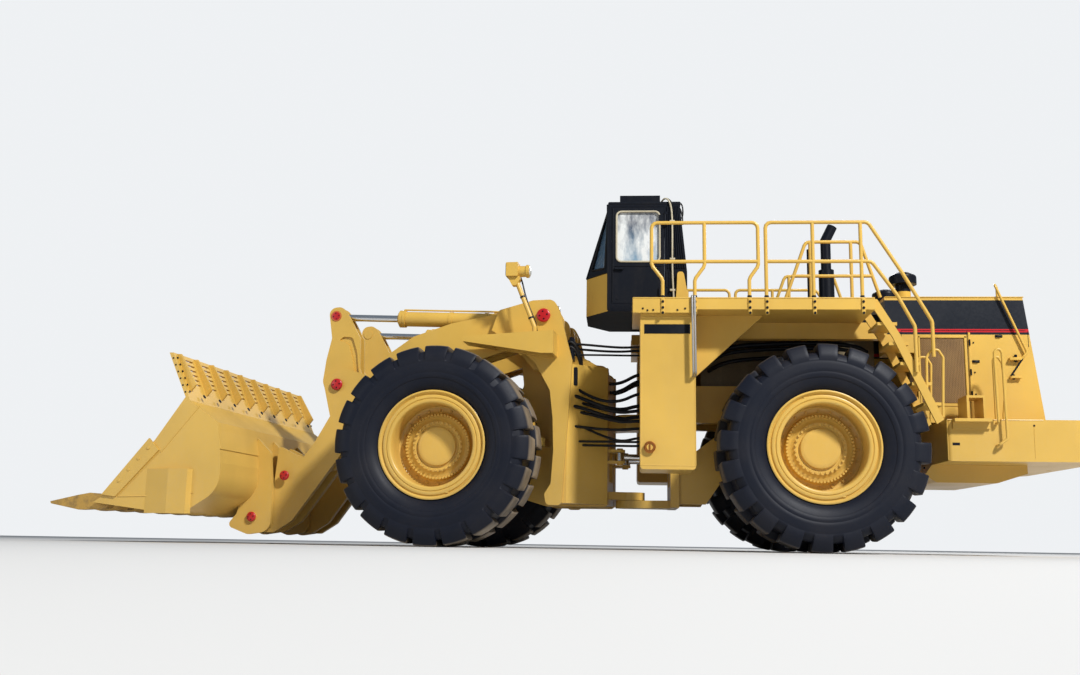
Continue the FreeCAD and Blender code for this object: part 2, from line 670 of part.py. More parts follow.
def weight_steps():
    """On the counterweight: a step box, a step plate on its side and two looped grab rails."""
    top = "weight_high + seat_gap"
    box = fuse("step_box", block("step_leg", ("-4390", "-4360"), ("1240", "1640"), (top, "2060")),
               block("step_leg", ("-4600", "-4570"), ("1240", "1640"), (top, "2060")),
               block("step_top", ("-4600", "-4360"), ("1240", "1640"), ("2030", "2060")))
    plate = fuse("side_step", block("side_step", ("-4620", "-4150"),
                                    ("weight_half + seat_gap", "weight_half + 140"), ("1700", "1740")),
                 block("side_step_back", ("-4620", "-4150"),
                       ("weight_half + seat_gap", "weight_half + 30"), ("1615", "1740")))
    beside = size.weight_half + size.seat_gap
    foot = size.weight_high + size.seat_gap
    bend = size.grip_radius * 2.2
    inner = pipe(size.grip_radius, [V(-4800, 1400, foot), V(-4800, 1400, 2570), V(-4850, 1400, 2640),
                                    V(-4915, 1400, 2520), V(-4940, 1400, 2150), V(-4900, 1400, 1840),
                                    V(-4900, 1400, foot)], bend)
    outer = pipe(size.grip_radius, [V(-4710, beside, 1690), V(-4710, 1770, 1690), V(-4700, 1770, 2600),
                                    V(-4755, 1770, 2690), V(-4800, 1770, 2600), V(-4810, 1770, 1480),
                                    V(-4700, 1770, 1400), V(-4700, beside, 1400)], bend)
    return [box, plate, solid("inner_grip", inner), solid("outer_grip", outer)]


def exhaust():
    base = "deck_high + 60"
    pieces = [rod("muffler", "112", "z", base + " + seat_gap", "4130", ("-2900", "0")),
              rod("pipe", "74", "z", "4100", "4600", ("-2900", "0")),
              solid("outlet", along(74, 260, V(-2890, 0, 4570), V(-0.45, 0, 0.9))),
              rod("breather", "55", "z", base + " + seat_gap", "4450", ("-2675", "0"))]
    return fuse("exhaust", *pieces)


def air_cleaner():
    cap = turned_up("bowl", [(0, size.hood_top + 0.3), (105, size.hood_top + 0.3), (105, 3770), (190, 3780),
                             (190, 3900, 40), (120, 3945, 20), (0, 3945)])
    cap.Placement.Base = V(-3870, 560, 0)
    return fuse("air_cleaner", cap, mirrored("air_cleaner_right", cap))


def turned_up(name, corners):
    """A solid of revolution about an upright axis; corners are (radius, height, arc)."""
    ring = add("Part::Revolution", name)
    ring.Source = outline(name, corners, "xz")
    ring.Axis = V(0, 0, 1)
    ring.Base = V(0, 0, 0)
    ring.Angle = 360
    ring.Solid = True
    return ring


# Cab

def cab_plan(front, rear, bevel, inset):
    """Outline of the cab seen from above, with its two front corners cut off."""
    back = -rear + inset
    left, right = size.cab_left - inset, size.cab_right + inset
    return [(back, right), (size.cab_front - inset, right), (front - inset, right + bevel),
            (front - inset, left - bevel), (size.cab_front - inset, left), (back, left)]


def cab_solid(inset, low, high):
    """Lower box with a bevelled nose and an upper part whose front leans back to the roof."""
    def ring(plan, height):
        return Part.makePolygon([V(x, y, height) for x, y in plan + plan[:1]])
    sill = max(size.cab_sill, low)
    nose = cab_plan(size.cab_nose, size.cab_back, size.cab_bevel, inset)
    lower = Part.Face(ring(nose, low)).extrude(V(0, 0, sill - low))
    roof = cab_plan(size.cab_front + 20, size.cab_top_back, size.cab_bevel, inset)
    upper = Part.makeLoft([ring(nose, sill), ring(roof, high)], True, True)
    return lower.fuse(upper)


HINGE_HEIGHTS = (3580, 4640)


def hinge_line():
    """The door's hinge axis, and half the height of a knuckle."""
    return -size.door_back - 12, size.cab_left + 25, 60


def hinge_posts():
    """Pins and lugs on the cab that carry the door's knuckles."""
    x, y, half = hinge_line()
    pieces = []
    for z in HINGE_HEIGHTS:
        pieces.append(Part.makeCylinder(10, 2 * half + 80, V(x, y, z - half - 40)))
        for low in (z - half - 40, z + half + size.seat_gap):
            pieces.append(Part.makeBox(36, y + 18 - size.cab_left + 4, 40 - size.seat_gap,
                                       V(x - 30, size.cab_left - 4, low)))
    return pieces


def door_box(grow, deep):
    """The space of the door in the cab's left wall, grown on every side."""
    return Part.makeBox(size.door_back + size.door_front + 2 * grow, deep,
                        size.door_high - size.door_low + 2 * grow,
                        V(-size.door_back - grow, size.cab_left - deep / 2, size.door_low - grow))


def corner_window(share_across, share_up):
    """A point on the left corner face, from the pillar to the nose and from the sill to the roof."""
    low = V(size.cab_front + share_across * (size.cab_nose - size.cab_front),
            size.cab_left - share_across * size.cab_bevel, size.cab_sill)
    high = V(size.cab_front + share_across * 20, size.cab_left - share_across * size.cab_bevel, size.cab_high)
    return low + (high - low) * share_up


def corner_cutter():
    """Prism through the left corner face, square to the middle of that face."""
    across = corner_window(1, 0.5) - corner_window(0, 0.5)
    out = V(-across.y, across.x, 0).normalize()
    spots = [corner_window(*share) for share in ((0.16, 0.07), (0.84, 0.1), (0.8, 0.86), (0.16, 0.86))]
    flat = [spot - out * ((spot - spots[0]).dot(out) + 200) for spot in spots]
    return Part.Face(Part.makePolygon(flat + flat[:1])).extrude(out * 400)


def windows():
    """Cutters for the panes: windscreen, right side, back, both corners."""
    left, right = size.cab_left, size.cab_right
    cutters = [Part.makeBox(700, left - right - 2 * size.cab_bevel - 120, 860,
                            V(size.cab_front - 150, right + size.cab_bevel + 60, size.cab_sill + 60)),
               Part.makeBox(820, 300, 860, V(-640, right - 150, size.cab_sill + 60)),
               Part.makeBox(400, left - right - 400, 760,
                            V(-size.cab_back - 150, right + 200, size.cab_sill + 110))]
    corner = corner_cutter()
    return cutters + [corner, corner.mirror(V(0, (left + right) / 2, 0), V(0, 1, 0))]


def cab_shell():
    """Walls, floor and roof of the cab with the door and window openings cut."""
    wall = size.cab_wall
    shell = cab_solid(0, size.cab_low, size.cab_high)
    shell = shell.cut(cab_solid(wall, size.cab_low + 80, size.cab_high - wall))
    shell = shell.cut(door_box(size.running_gap, 200))
    for cutter in windows():
        shell = shell.cut(cutter)
    shell = shell.fuse(hinge_posts())
    return fuse("cab_shell", solid("cab_walls", shell.removeSplitter()))


def cab_mount():
    """Pedestal under the cab on the front of the rear frame, and a bracket on the deck beside it."""
    pedestal = block("pedestal", ("-cab_back + 40", "-rail_front + 400"), ("-560", "640"),
                     ("rail_high + seat_gap", "cab_low - seat_gap"))
    foot = size.deck_high + size.seat_gap
    bracket = slab("cab_bracket", [(-610, foot), (-780, foot), (-790, 3560, 60), (-735, 3860, 40),
                                   (-650, 3860, 40), (-640, 3620, 60)], "cab_left + seat_gap", "60")
    return fuse("cab_mount", pedestal, bracket)


def door_pane(grow, deep, front):
    """The door's window with its rounded corners, from a face at front inward."""
    back, ahead = -size.door_back + size.door_frame - grow, size.door_front - size.door_frame + grow
    low, high = size.door_window - grow, size.door_high - size.door_frame + grow
    bend = size.window_bend + grow
    corners = [(back, low, bend), (ahead, low, bend), (ahead, high, bend), (back, high, bend)]
    pane = Part.Face(corner_wire(corners, "xz"))
    pane.translate(V(0, front, 0))
    return pane.extrude(V(0, deep, 0))


def cab_door():
    """Steel door with its window opening and handle."""
    wall = size.cab_wall
    panel = Part.makeBox(size.door_back + size.door_front, wall, size.door_high - size.door_low,
                         V(-size.door_back, size.cab_left - wall, size.door_low))
    panel = panel.cut(door_pane(0, 3 * wall, size.cab_left - 2 * wall))
    handle = Part.makeBox(120, 40, 30, V(size.door_front - 160, size.cab_left - 1, 3900))
    pieces = [handle]
    x, y, half = hinge_line()
    for z in HINGE_HEIGHTS:
        pieces.append(Part.makeCylinder(20, 2 * half, V(x, y, z - half)))
        pieces.append(Part.makeBox(90, 14, 2 * half, V(x, y - 8, z - half)))
        pieces.append(Part.makeBox(70, y - size.cab_left + 4, 2 * half,
                                   V(x + 20, size.cab_left - 4, z - half)))
    panel = panel.fuse(pieces)
    for z in HINGE_HEIGHTS:
        panel = panel.cut(Part.makeCylinder(11, 2 * half + 20, V(x, y, z - half - 10)))
    return fuse("cab_door", solid("door", panel.removeSplitter()))


def door_glass():
    """The pane in the door."""
    return fuse("door_glass", solid("door_pane", door_pane(-size.seat_gap, size.pane, size.cab_left - 30)))


def cab_glass():
    """Panes in the windscreen, right side and back openings."""
    inner = cab_solid(size.cab_wall * 0.35, size.cab_low, size.cab_high)
    outer = inner.cut(cab_solid(size.cab_wall * 0.65, size.cab_low - 50, size.cab_high + 50))
    panes = [outer.common(cutter) for cutter in windows()]
    return fuse("cab_glass", solid("panes", Part.makeCompound(panes)))


def cab_roof_unit():
    return fuse("cab_roof_unit", block("cooler", ("-420", "160"), ("cab_right + 350", "cab_left - 250"),
                                       ("cab_high + seat_gap", "cab_high + 190")))


def seat():
    base = Part.makeBox(420, 420, 320, V(-540, 10, size.cab_low + 80.3))
    cushion = Part.makeBox(500, 520, 140, V(-570, -40, size.cab_low + 400))
    back = Part.makeBox(130, 480, 560, V(-690, -20, size.cab_low + 420))
    return fuse("seat", solid("seat", base.fuse([cushion, back])))


def console():
    column = along(45, 688, V(197, 225, size.cab_low + 91.5), V(-0.25, 0, 1))
    wheel = Part.makeTorus(200, 18, V(25, 225, size.cab_low + 770), V(-0.25, 0, 1))
    spoke = along(14, 400, V(25, 25, size.cab_low + 770), V(0, 1, 0))
    box = Part.makeBox(160, 300, 560, V(290, 75, size.cab_low + 80.3))
    return fuse("console", solid("console", column.fuse([wheel, spoke, box])))


# Front unit

def front_frame():
    """Towers that carry the lift arms, box under them, hitch tongues and axle seats."""
    bx, bz = size.boom_x, size.boom_z
    outer = [(850, 590, 60), (720, 2600), (800, 2890), (840, 3060), (900, bz + 60),
             (bx - 140, bz + 235, 120), (bx + 160, bz + 225, 100), (1780, 3330, 60), (1880, 3040),
             (1500, 2800), (1240, 2560), (1030, 2180, 60), (985, 1780), (970, 1330), (1000, 880),
             (1090, 740, 60), (1060, 590, 60)]
    inner = [(270, 590, 60), (270, 2600, 120), (450, 2620), (900, 2880, 80), (bx - 170, bz),
             (bx - 140, bz + 235, 120), (bx + 160, bz + 225, 100), (1780, 3330, 60), (1880, 3040),
             (1560, 2800), (1500, 2250, 120), (2950, 1950, 90), (2950, 1150, 150), (2700, 900, 150),
             (2150, 880, 200), (1150, 590, 60)]
    saddle = rod("axle_hole", "axle_radius + seat_gap", "y", "tower_inner - 20",
                 "tower_inner + inner_plate + 20",
                 ("half_base", "hub_height"))
    plates = [slab("tower_outer", outer, "tower_outer", "tower_plate"),
              cut("tower_inner", slab("tower_inner_plate", inner, "tower_inner", "inner_plate"), saddle)]
    near, far = size.tower_inner + size.inner_plate - 20, size.tower_outer + 10
    bevel = [(270, near), (270, near + 130), (790, far), (880, far), (360, near + 90), (360, near)]
    back = slab("tower_back", bevel, "620", "1940", "xy")
    lid = [(300, near), (300, near + 120), (800, far)]
    foot = slab("tower_foot", lid + [(940, far), (940, near)], "620", "70", "xy")
    top = slab("tower_shelf", lid + [(1200, far), (1200, near)], "2450", "110", "xy")
    shelf = slab("lift_shelf", [(1120, 1420), (1120, 1530), (1640, 1530), (1640, 1420)],
                 "tower_inner + 10", "lever_mid + lift_eye / 2 + 60 - tower_inner")
    seat = [(1300, 1430), (size.lift_base_x - 120, size.lift_base_z + 120, 110),
            (size.lift_base_x + 120, size.lift_base_z + 120, 110), (1560, 1430)]
    lift_seats = [slab("lift_seat", seat, "lever_mid + lift_eye / 2 + running_gap", "50"),
                  slab("lift_seat", seat, "lever_mid - lift_eye / 2 - running_gap - 50", "50")]
    cheek = [(980, 2500), (1300, 3000, 150), (1440, 3120), (size.tilt_x - 140, size.tilt_z + 140, 120),
             (size.tilt_x + 130, size.tilt_z + 130, 120), (size.tilt_x + 130, 2980, 100), (1300, 2500)]
    tilt_seats = [slab("tilt_seat", cheek, "lever_mid + tilt_eye / 2 + running_gap", "45"),
                  slab("tilt_seat", cheek, "lever_mid - tilt_eye / 2 - running_gap - 45", "45")]
    side = fuse("tower_side", *plates, back, foot, top, shelf, *lift_seats, *tilt_seats)
    pins = [rod("boom_pin", "pin_radius", "y", "tower_inner", "tower_outer + tower_plate + 40",
                ("boom_x", "boom_z")),
            rod("tilt_pin", "small_pin", "y", "lever_mid - tilt_eye / 2 - running_gap - 45",
                "lever_mid + tilt_eye / 2 + running_gap + 45", ("tilt_x", "tilt_z")),
            rod("lift_pin", "small_pin", "y", "tower_inner", "lever_mid + lift_eye / 2 + running_gap + 60",
                ("lift_base_x", "lift_base_z"))]
    head = steer_bracket("steer_head", size.steer_head_x, size.steer_head_y,
                         (size.steer_head_x + 200, size.steer_head_y + 20), False)
    sides = pair("towers", fuse("tower_pins", side, *pins, head))
    floor = block("front_floor", ("1100", "2900"), ("-tower_inner - 10", "tower_inner + 10"),
                  ("hub_height + axle_radius + seat_gap", "hub_height + axle_radius + 90"))
    cross = block("front_cross", ("280", "380"), ("-tower_inner - 10", "tower_inner + 10"),
                  ("620", "2500"))
    window = block("front_window", ("200", "450"), ("-220", "220"), ("960", "1600"))
    tongues = []
    for name, side_sign in (("hitch_upper", -1), ("hitch_lower", 1)):
        low = "%s - hitch_plate / 2 + %d * (hitch_plate + hitch_gap) / 2" % (name, side_sign)
        tip = size.hitch_radius
        plate = slab(name + "_tongue", [(300, 330), (40, tip), (-tip, tip, tip * 0.9),
                                        (-tip, -tip, tip * 0.9),
                                        (40, -tip), (300, -330)], low, "hitch_plate", "xy")
        hole = rod("tongue_hole", "hitch_pin + pin_slack", "z", name + " - 300", name + " + 300", ("0", "0"))
        tongues.append(cut("tongue", plate, hole))
    return fuse("front_frame", sides, floor, cut("front_cross", cross, window), *tongues)


def front_fenders():
    """Shelf over each front wheel, fixed to the tower's outer plate."""
    plate = slab("fender", [(930, 2960), (2210, 2890), (2210, 2820), (1100, 2640), (930, 2640)],
                 "tower_outer + tower_plate + seat_gap", "400")
    pocket = slab("fender_pocket", [(960, 2880), (2100, 2820), (1100, 2600), (960, 2600)],
                  "tower_outer + tower_plate + 30", "340")
    return pair("front_fenders", cut("fender_side", plate, pocket))


def fender_top(x):
    """Height of the fender shelf's upper face at a distance from the hinge."""
    return 2960 - (x - 930) * 70 / 1280


def lamp_masts():
    """Slanted post on each fender with a boxed lamp facing ahead and a round one facing back."""
    y = size.tower_outer + size.tower_plate + 300
    post = solid("mast", pipe(32, [V(1210, y, fender_top(1178) + size.seat_gap), V(1210, y, 3020),
                                   V(1460, y, 3640), V(1480, y, 3730)]))
    bracket = slab("lamp_bracket", [(1420, 3690), (1470, 3610), (1530, 3610), (1600, 3740), (1420, 3740)],
                   str(y - 60), "120")
    box = block("lamp", ("1445", "1610"), (str(y - 105), str(y + 105)), ("3735", "3930"))
    face = block("lamp_face", ("1600", "1650"), (str(y - 88), str(y + 88)), ("3752", "3913"))
    back_lamp = rod("back_lamp", "78", "x", "1290", "1450", (str(y), "3815"))
    rim = rod("back_lamp_rim", "92", "x", "1300", "1335", (str(y), "3815"))
    hollow = cut("lamp_box", box, face)
    return pair("lamp_masts", fuse("mast_side", post, bracket, hollow, back_lamp, rim))


# Lift arms, bucket and linkage

def slab_corners():
    """Side view of an arm slab: pivot boss, bend, lever ear and nose at the bucket pin."""
    bx, bz = size.boom_x, size.boom_z
    nose = size.nose_radius
    return [(bx - 210, bz - 230, 190), (bx - 220, bz + 190, 160), (1800, 3300, 200), (2490, 3170, 300),
            (3050, 2985, 200), (3400, 2740), (3700, 2420), (size.lever_x - 60, size.lever_z + 250, 160),
            (size.lever_x + 220, size.lever_z + 60, 120), (4260, 1830), (4480, 1440), (4630, 1240),
            (4780, 1290), (5005, 1400, 30), (5060, 760, 60), (5170, 620),
            (size.bucket_x + nose, size.bucket_z + nose, nose),
            (size.bucket_x + nose, size.bucket_z - nose, nose),
            (size.bucket_x - 300, size.bucket_z - nose, 60), (4760, 330), (4050, 1310), (3500, 1950, 200),
            (2900, 2090, 200), (2300, 2560, 200)]


def lift_arms():
    """Two pairs of slabs joined by spacers and a cross tube, with the levers' pins."""
    outer = slab("arm_outer", slab_corners(), "arm_outer", "slab")
    inner = slab("arm_inner", slab_corners(), "arm_inner", "slab")
    between = ("arm_inner + slab - 5", "arm_outer - arm_inner - slab + 10")
    spacer = slab("arm_spacer", [(2450, 2500), (2450, 2620), (2740, 2530), (2740, 2410)], *between)
    holes = [rod("boom_hole", "pin_radius + pin_slack", "y", "arm_inner - 50", "arm_outer + slab + 50",
                 ("boom_x", "boom_z")),
             rod("bucket_hole", "small_pin + pin_slack", "y", "arm_inner - 50", "arm_outer + slab + 50",
                 ("bucket_x", "bucket_z"))]
    side = cut("arm_side", fuse("arm_slabs", outer, inner, spacer), *holes)
    near = "lever_mid - eye_width / 2 - running_gap"
    far = "lever_mid + eye_width / 2 + running_gap"
    head = ("lift_head_x", "lift_head_z")
    pins = [rod("lever_pin", "small_pin", "y", "arm_inner + 5", "arm_outer + slab + 35",
                ("lever_x", "lever_z")),
            rod("head_boss", "small_pin + 20", "y", "arm_inner + 5", near, head),
            rod("head_boss", "small_pin + 20", "y", far, "arm_outer + slab + 20", head)]
    cross = rod("arm_cross", "170", "y", "-arm_inner - 10", "arm_inner + 10", ("3950", "1750"))
    return fuse("lift_arms", pair("arm_sides", fuse("arm_with_pins", side, *pins)), cross)


def lip_top(x):
    """Height of the bucket's floor, inside, at a distance from the hinge."""
    return 365 + size.bucket_wall + (x - 5830) * 175 / 1470


def lip_low(x):
    """Height of the bucket's floor, outside."""
    return 365 + (x - 5800) * 155 / 1260


def bucket():
    """Rolled shell, side plates, torque box and hinge ears."""
    half, wall = size.bucket_half, size.bucket_wall
    side_view = [(7060, 520), (5800, 365, 380), (5265, 700, 380), (5265, 1060), (5330, 1600), (5830, 1945),
                 (6230, 1360, 100), (6900, 620)]
    inside = [(7300, 600), (5830, 365 + wall, 380), (5265 + wall, 720, 380), (5265 + wall + 10, 1060),
              (5400 + wall, 1560), (5900, 1915), (6400, 2300), (7400, 1500)]
    body = slab("bucket_solid", side_view, "-bucket_half", "2 * bucket_half")
    hollow = slab("bucket_hollow", inside, "-bucket_half + bucket_wall", "2 * (bucket_half - bucket_wall)")
    ear = [(5560, 420, 0), (5700, 250, 60), (size.bucket_x + 60, 130, 120), (size.bucket_x - 280, 180, 160),
           (5040, 700), (5100, 1300, 60), (5300, 1500), (5400, 1000)]
    small = [(5290, 700), (5290, 1300), (5050, 1250, 120), (size.link_x - 150, 1080, 120),
             (size.link_x - 130, 850, 120), (5050, 760)]
    ears = [slab("ear_outer", ear, "ear_outer", "ear"), slab("ear_inner", ear, "ear_inner", "ear")]
    cheeks = [slab("link_ear", small, "lever_mid - cheek_space / 2 - cheek", "cheek"),
              slab("link_ear", small, "lever_mid + cheek_space / 2", "cheek")]
    pins = [rod("bucket_pin", "small_pin", "y", "ear_inner", "ear_outer + ear + 30",
                ("bucket_x", "bucket_z")),
            rod("link_pin", "small_pin - 10", "y", "lever_mid - cheek_space / 2 - cheek",
                "lever_mid + cheek_space / 2 + cheek", ("link_x", "link_z"))]
    shell = cut("bucket_shell", body, hollow)
    cutter = slab("side_cutter", [(6300, 1385), (6150, 1225), (6730, 600), (6930, 625)],
                  "bucket_half - 5", "side_cutter + 5")
    bumper = slab("side_bumper", [(6310, half - 5), (6310, half), (5960, half + 80), (5690, half + 80),
                                  (5650, half), (5650, half - 5)], "385", "590", "xy")
    beam = slab("back_beam", [(5275, 1245), (5340, 1245), (5440, 1640), (5335, 1600)],
                "ear_outer + ear - 5", "bucket_half - ear_outer - ear + 5")
    return fuse("bucket", shell, pair("bucket_sides", fuse("bucket_side", cutter, bumper, beam)),
                pair("bucket_ears", fuse("ear_side", *ears, *cheeks, *pins)))


def bucket_teeth():
    """Adapters that straddle the lip, with their points."""
    gap = size.seat_gap
    profile = [(6780, lip_top(6780) + gap), (6800, 590), (6990, 640, 60), (7150, 650, 60), (7320, 620),
               (7730, 530), (7720, 500), (7300, 420), (7080, 430, 60), (6900, 440, 40),
               (6850, lip_low(6850) - gap), (7061, lip_low(7061) - gap), (6991.3, lip_top(6991) + gap)]
    count = int(size.tooth_count)
    half = size.tooth_half
    span = 2 * (size.bucket_half - size.bucket_wall - half - size.running_gap)
    teeth = []
    for index in range(count):
        middle = -span / 2 + span * index / (count - 1)
        teeth.append(slab("tooth", profile, str(middle - half), "2 * tooth_half"))
    return fuse("bucket_teeth", *teeth)


def spill_guard():
    """Plate above the bucket's back with ribs on its rear face and rows of slots between them."""
    plate = slab("guard", [(5759.8, 1897), (5829.8, 1945.3), (6110, 2560), (6050, 2560)],
                 "-bucket_half", "2 * bucket_half")
    span = 2 * (size.bucket_half - 120)
    pitch = span / (size.guard_ribs - 1)
    ribs, slots = [], []
    for index in range(int(size.guard_ribs)):
        middle = -span / 2 + pitch * index
        ribs.append(slab("guard_rib", [(5850, 1990), (6045, 2555), (5990, 2555), (5740, 2130)],
                         str(middle - 20), "40"))
    for row in range(int(size.guard_slots)):
        low = 2150 + row * 330 / (size.guard_slots - 1)
        for index in range(int(size.guard_ribs) - 1):
            middle = -span / 2 + pitch * (index + 0.5)
            slots.append(block("guard_slot", ("5700", "6300"), (str(middle - 170), str(middle + 170)),
                               (str(low), "%s + slot_high" % low)))
    return cut("spill_guard", fuse("guard_with_ribs", plate, *ribs), *slots)


def lever_corners():
    head, foot, hub = point("head"), point("foot"), point("lever")
    return [(hub.x + 130, hub.z - 330), (foot.x + 150, foot.z - 130, 110),
            (foot.x - 160, foot.z - 120, 110), (foot.x - 130, foot.z + 160, 110), (3880, 2500, 150),
            (3900, 3000), (4080, 3330), (head.x - 90, head.z + 140, 110),
            (head.x + 120, head.z + 120, 110), (4330, 3000), (4400, 2680), (hub.x + 270, hub.z + 60, 150)]


def crescent():
    """Recess in a lever's outer face that follows its front edge."""
    return [(4235, 2955, 20), (4150, 3020, 60), (4010, 3010, 60), (3935, 2790, 300), (3895, 2470, 20),
            (3955, 2440, 20), (3990, 2640, 300), (4060, 2890, 50), (4130, 2945, 20)]


def tilt_levers():
    """One rocker per arm: two shaped plates joined round the pivot."""
    corners = lever_corners()
    plates = [slab("lever_plate", corners, "lever_mid - cheek_space / 2 - cheek", "cheek"),
              slab("lever_plate", corners, "lever_mid + cheek_space / 2", "cheek")]
    hub = rod("lever_hub", "190", "y", "lever_mid - cheek_space / 2 - cheek",
              "lever_mid + cheek_space / 2 + cheek", ("lever_x", "lever_z"))
    hole = rod("lever_hole", "small_pin + pin_slack", "y", "arm_inner", "arm_outer + slab",
               ("lever_x", "lever_z"))
    caps = []
    for name in ("head", "foot"):
        for side in (-1, 1):
            near, far = "cheek_space / 2 + 5", "cheek_space / 2 + cheek + 10"
            low = "lever_mid + " + near if side > 0 else "lever_mid - cheek_space / 2 - cheek - 10"
            high = "lever_mid + " + far if side > 0 else "lever_mid - cheek_space / 2 - 5"
            caps.append(rod(name + "_cap", "small_pin", "y", low, high, (name + "_x", name + "_z")))
    recess = slab("lever_recess", crescent(), "lever_mid + cheek_space / 2 + cheek - 28", "60")
    body = cut("lever", fuse("lever_body", *plates, hub), hole, recess)
    return pair("tilt_levers", fuse("lever_side", body, *caps))


def flat_link(name, start, end, radius, start_hole, end_hole):
    """A bar with round ends between two pins."""
    width = size.eye_width
    direction = (end - start).normalize()
    across = V(-direction.z, 0, direction.x) * radius
    base = V(0, size.lever_mid - width / 2, 0)
    ring = Part.Wire([Part.LineSegment(start + across, end + across).toShape(),
                      Part.Arc(end + across, end + direction * radius, end - across).toShape(),
                      Part.LineSegment(end - across, start - across).toShape(),
                      Part.Arc(start - across, start - direction * radius, start + across).toShape()])
    ring.translate(base)
    bar = Part.Face(ring).extrude(V(0, width, 0))
    for place, hole in ((start, start_hole), (end, end_hole)):
        if hole:
            bar = bar.cut(along(hole, width + 20, place + base - V(0, 10, 0), V(0, 1, 0)))
    return solid(name, bar)


def tilt_links():
    return pair("tilt_links", flat_link("link", point("foot"), point("link"), 115, 0,
                                        size.small_pin - 10 + size.pin_slack))


def cylinder_parts(name, base, head, barrel_radius, rod_radius, gland, base_pin, width):
    """Barrel with a base eye and a bored inside, and a rod with its piston and head eye."""
    run = head - base
    length = run.Length
    direction = V(run).normalize()
    y = V(0, size.lever_mid, 0)
    start = base + y
    neck = barrel_radius * 1.3
    barrel = along(barrel_radius, gland - neck, start + direction * neck, direction)
    collar = along(barrel_radius * 1.12, 90, start + direction * (gland - 90), direction)
    eye = Part.makeCylinder(barrel_radius * 1.25, width, start - V(0, width / 2, 0), V(0, 1, 0))
    neck = along(width / 2 - size.running_gap, barrel_radius * 1.6, start, direction)
    barrel = barrel.fuse([collar, eye, neck])
    bore = along(rod_radius + size.pin_slack, gland, start + direction * barrel_radius * 1.9, direction)
    barrel = barrel.cut(bore)
    barrel = barrel.cut(Part.makeCylinder(base_pin + size.pin_slack, width + 20,
                                          start - V(0, width / 2 + 10, 0), V(0, 1, 0)))
    inside = min(barrel_radius * 1.9 + 30 + gland * 0.45, gland * 0.7)
    shaft = along(rod_radius, length - inside - 60, start + direction * inside, direction)
    head_eye = Part.makeCylinder(rod_radius * 1.9, size.eye_width,
                                 head + y - V(0, size.eye_width / 2, 0), V(0, 1, 0))
    rod_part = shaft.fuse(head_eye)
    return barrel.removeSplitter(), rod_part.removeSplitter()


def tilt_cylinders():
    barrel, shaft = cylinder_parts("tilt", point("tilt"), point("head"), size.tilt_barrel_radius,
                                   size.tilt_rod_radius, size.tilt_gland, size.small_pin, size.tilt_eye)
    return pair("tilt_barrels", solid("tilt_barrel", barrel)), pair("tilt_rods", solid("tilt_rod", shaft))


def lift_cylinders():
    barrel, shaft = cylinder_parts("lift", point("lift_base"), point("lift_head"), size.lift_barrel_radius,
                                   size.lift_rod_radius, size.lift_gland, size.small_pin, size.lift_eye)
    return pair("lift_barrels", solid("lift_barrel", barrel)), pair("lift_rods", solid("lift_rod", shaft))


def steer_cylinders(side):
    """One steering cylinder from the rear frame to the front frame."""
    rest = math.radians(size.steer_rest)
    base = V(-size.steer_base_x, side * size.steer_base_y, size.steer_z)
    head = V(size.steer_head_x * math.cos(rest) + side * size.steer_head_y * math.sin(rest),
             side * size.steer_head_y * math.cos(rest) - size.steer_head_x * math.sin(rest), size.steer_z)
    run = head - base
    direction = V(run).normalize()
    radius, shaft_radius, gland = size.steer_barrel_radius, size.steer_rod_radius, size.steer_gland
    up = V(0, 0, 1)
    eye = size.steer_eye
    barrel = along(radius, gland - radius * 1.3, base + direction * radius * 1.3, direction)
    barrel = barrel.fuse([Part.makeCylinder(radius * 1.2, eye, base - up * eye / 2, up),
                          along(radius * 0.6, radius * 1.6, base, direction)])
    barrel = barrel.cut(along(shaft_radius + size.pin_slack, gland, base + direction * radius * 1.9, direction))
    barrel = barrel.cut(Part.makeCylinder(size.steer_pin + size.pin_slack, 2 * radius, base - up * radius, up))
    shaft = along(shaft_radius, run.Length - size.steer_piston,
                  base + direction * size.steer_piston, direction)
    shaft = shaft.fuse(Part.makeCylinder(shaft_radius * 1.7, eye, head - up * eye / 2, up))
    return solid("steer_barrel", barrel), solid("steer_rod", shaft)


# Wheels

def rim_shape():
    """Rim with flanges, dished disc and planetary hub; its outside faces +Y."""
    half, flange, bead = size.flange_half, size.flange_radius, size.seat_radius
    hub, cap, face = size.hub_radius, size.cap_radius, size.hub_face
    bore = size.spindle_radius + size.seat_gap
    return [(face, 0), (face, cap, 20), (face - 35, cap + 15), (face - 35, hub - 20), (face - 60, hub),
            (40, hub + 10), (40, 560, 40), (half - 90, 580, 40), (half - 20, 690), (half, 690, 8),
            (half, flange, 14), (half - 26, flange, 10), (half - 60, bead), (60 - half, bead),
            (26 - half, flange, 10), (-half, flange, 14), (-half, 690, 8), (100 - half, 600),
            (-60, 560, 40), (-60, 330), (-260, 330), (-260, bore), (-118, bore), (-118, 0)]


